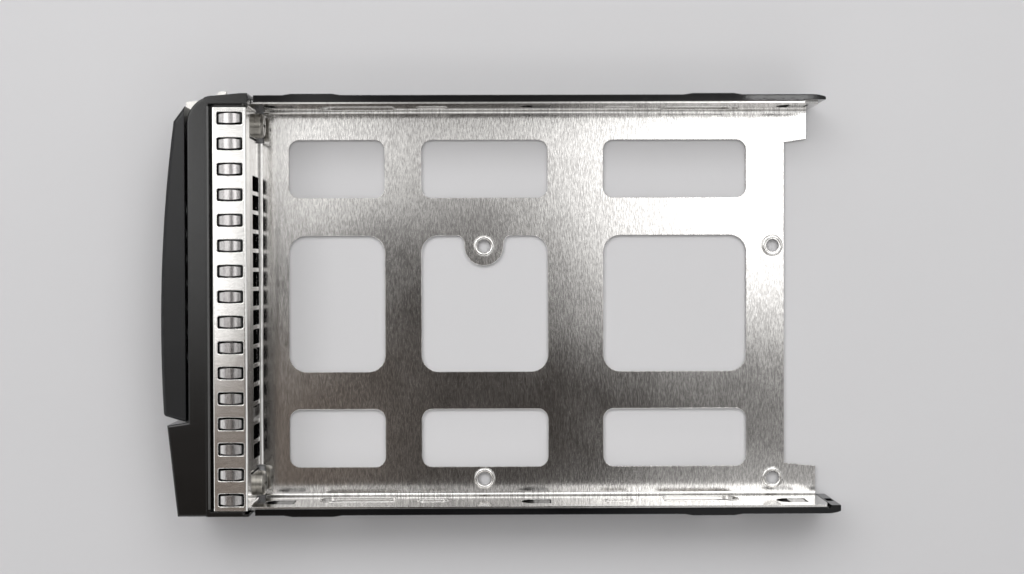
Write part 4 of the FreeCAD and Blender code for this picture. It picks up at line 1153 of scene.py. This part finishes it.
@dataclass
class Studio:
    """Floor, light and camera.

    Attributes:
        floor_size: side of the floor, in metres.
        floor_drop: gap under the part, in metres.
        floor_tone: the floor's pale grey.
        floor_mottle: pitch of the floor's faint mottle, in metres.
        floor_dim: share of the tone that the mottle's darker spots have.
        floor_fade: distances between which the floor goes over into the backdrop, in metres.
        room_glow: brightness of the dim room.
        backdrop_glow: brightness that is seen behind everything.
        lens: focal length, in mm.
        sensor: width of the sensor, in mm.
        clip: nearest and farthest distance that the camera sees, in metres.
        eye: camera position, in metres.
        right: the camera's own direction to the right.
        up: the camera's own direction up.
        back: the camera's own direction back, away from what it sees.
    """

    floor_size: float = 12.0
    floor_drop: float = 0.0003
    floor_tone: Colour = (0.60, 0.597, 0.608)
    floor_mottle: float = 0.08
    floor_dim: float = 0.99
    floor_fade: Pair = (0.20, 0.60)
    room_glow: float = 0.06
    backdrop_glow: float = 0.66
    lens: float = 52.875
    sensor: float = 36.0
    clip: Pair = (0.01, 20.0)
    eye: Triple = (-0.020361, 0.009273, 0.400100)
    right: Triple = (0.99995688, -0.00308195, 0.00875987)
    up: Triple = (0.00318952, 0.99991936, -0.01229227)
    back: Triple = (-0.00872128, 0.01231968, 0.99988608)

    def lay_floor(self) -> None:
        """Lays a plain pale floor just under the part, which ends in the backdrop without a line."""
        half = self.floor_size / 2
        corners = [(-half, -half), (half, -half), (half, half), (-half, half)]
        floor = flat_plate("floor", corners, -self.floor_drop)
        skin = Surface("floor_finish")
        mottle = skin.noise((self.floor_mottle,) * 3, detail=2.0, rough=0.5)
        dim = tuple(self.floor_dim * part for part in self.floor_tone)
        skin.tint(dim, self.floor_tone, mottle.between(0.3, 0.7))
        skin.give({"Roughness": 0.7 + 0.1 * mottle, "Specular IOR Level": 0.2})
        reach = (skin.x * skin.x + skin.y * skin.y) ** 0.5
        distance = reach.between(*self.floor_fade) * skin.graph.in_view()
        pale = skin.graph.node("ShaderNodeEmission", {}, {"Strength": self.backdrop_glow})
        skin.graph.show_mix(distance, skin.shader, pale, "Material Output")
        floor.data.materials.append(skin.material)

    def light(self) -> None:
        """Hangs the panel and the softboxes in a dim room, behind which pale grey is seen."""
        LightPanel().build()
        for box in SOFTBOXES:
            box.build()
        world = bpy.data.worlds.new("room")
        bpy.context.scene.world = world
        world.use_nodes = True
        graph = Graph(world.node_tree)
        dim = graph.tree.nodes["Background"]
        graph.feed(dim.inputs["Color"], WHITE)
        graph.feed(dim.inputs["Strength"], self.room_glow)
        pale = graph.node("ShaderNodeBackground", {}, {"Color": WHITE, "Strength": self.backdrop_glow})
        graph.show_mix(graph.in_view(), dim, pale, "World Output")

    def place_camera(self) -> None:
        """Sets the camera where the picture was taken from, looking almost straight down."""
        data = bpy.data.cameras.new("camera")
        data.lens = self.lens
        data.sensor_width = self.sensor
        data.clip_start, data.clip_end = self.clip
        camera = bpy.data.objects.new("camera", data)
        camera.matrix_world = standing(self.right, self.up, self.back, self.eye)
        bpy.context.scene.collection.objects.link(camera)
        bpy.context.scene.camera = camera

    def build(self) -> None:
        """Makes floor, light and camera, with plain view settings."""
        self.lay_floor()
        self.light()
        self.place_camera()
        bpy.context.scene.view_settings.view_transform = "Standard"


def main() -> None:
    """Dresses the part, adds the trim and the studio, and logs each piece's faces and finish."""
    logging.basicConfig(level=logging.INFO)
    # The objects of the start-up scene go first.
    for thing in list(bpy.data.objects):
        bpy.data.objects.remove(thing)
    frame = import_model()
    finishes = Tray(frame["nodes"]).dress()
    stamping = StampedEdges()
    rims = stamping.build()
    stamping.dress(rims, finishes["tray_sheet"])
    channel = ChannelEdges()
    channel_rims = channel.build()
    channel.dress(channel_rims, finishes["emi_shield"])
    spring = ReturnCoil()
    coil = spring.build()
    spring.dress(coil, finishes["release_spring"])
    trim = BezelTrim()
    ridge = trim.build()
    trim.dress(ridge, FINISHES["bezel_ridge"].make("bezel_ridge_finish"))
    Studio().build()
    for piece in (*frame["nodes"].values(), *rims, channel_rims, coil, ridge):
        LOG.info("%s has %d faces in %s", piece.name, len(piece.data.polygons), piece.data.materials[0].name)


if __name__ == "__main__":
    main()
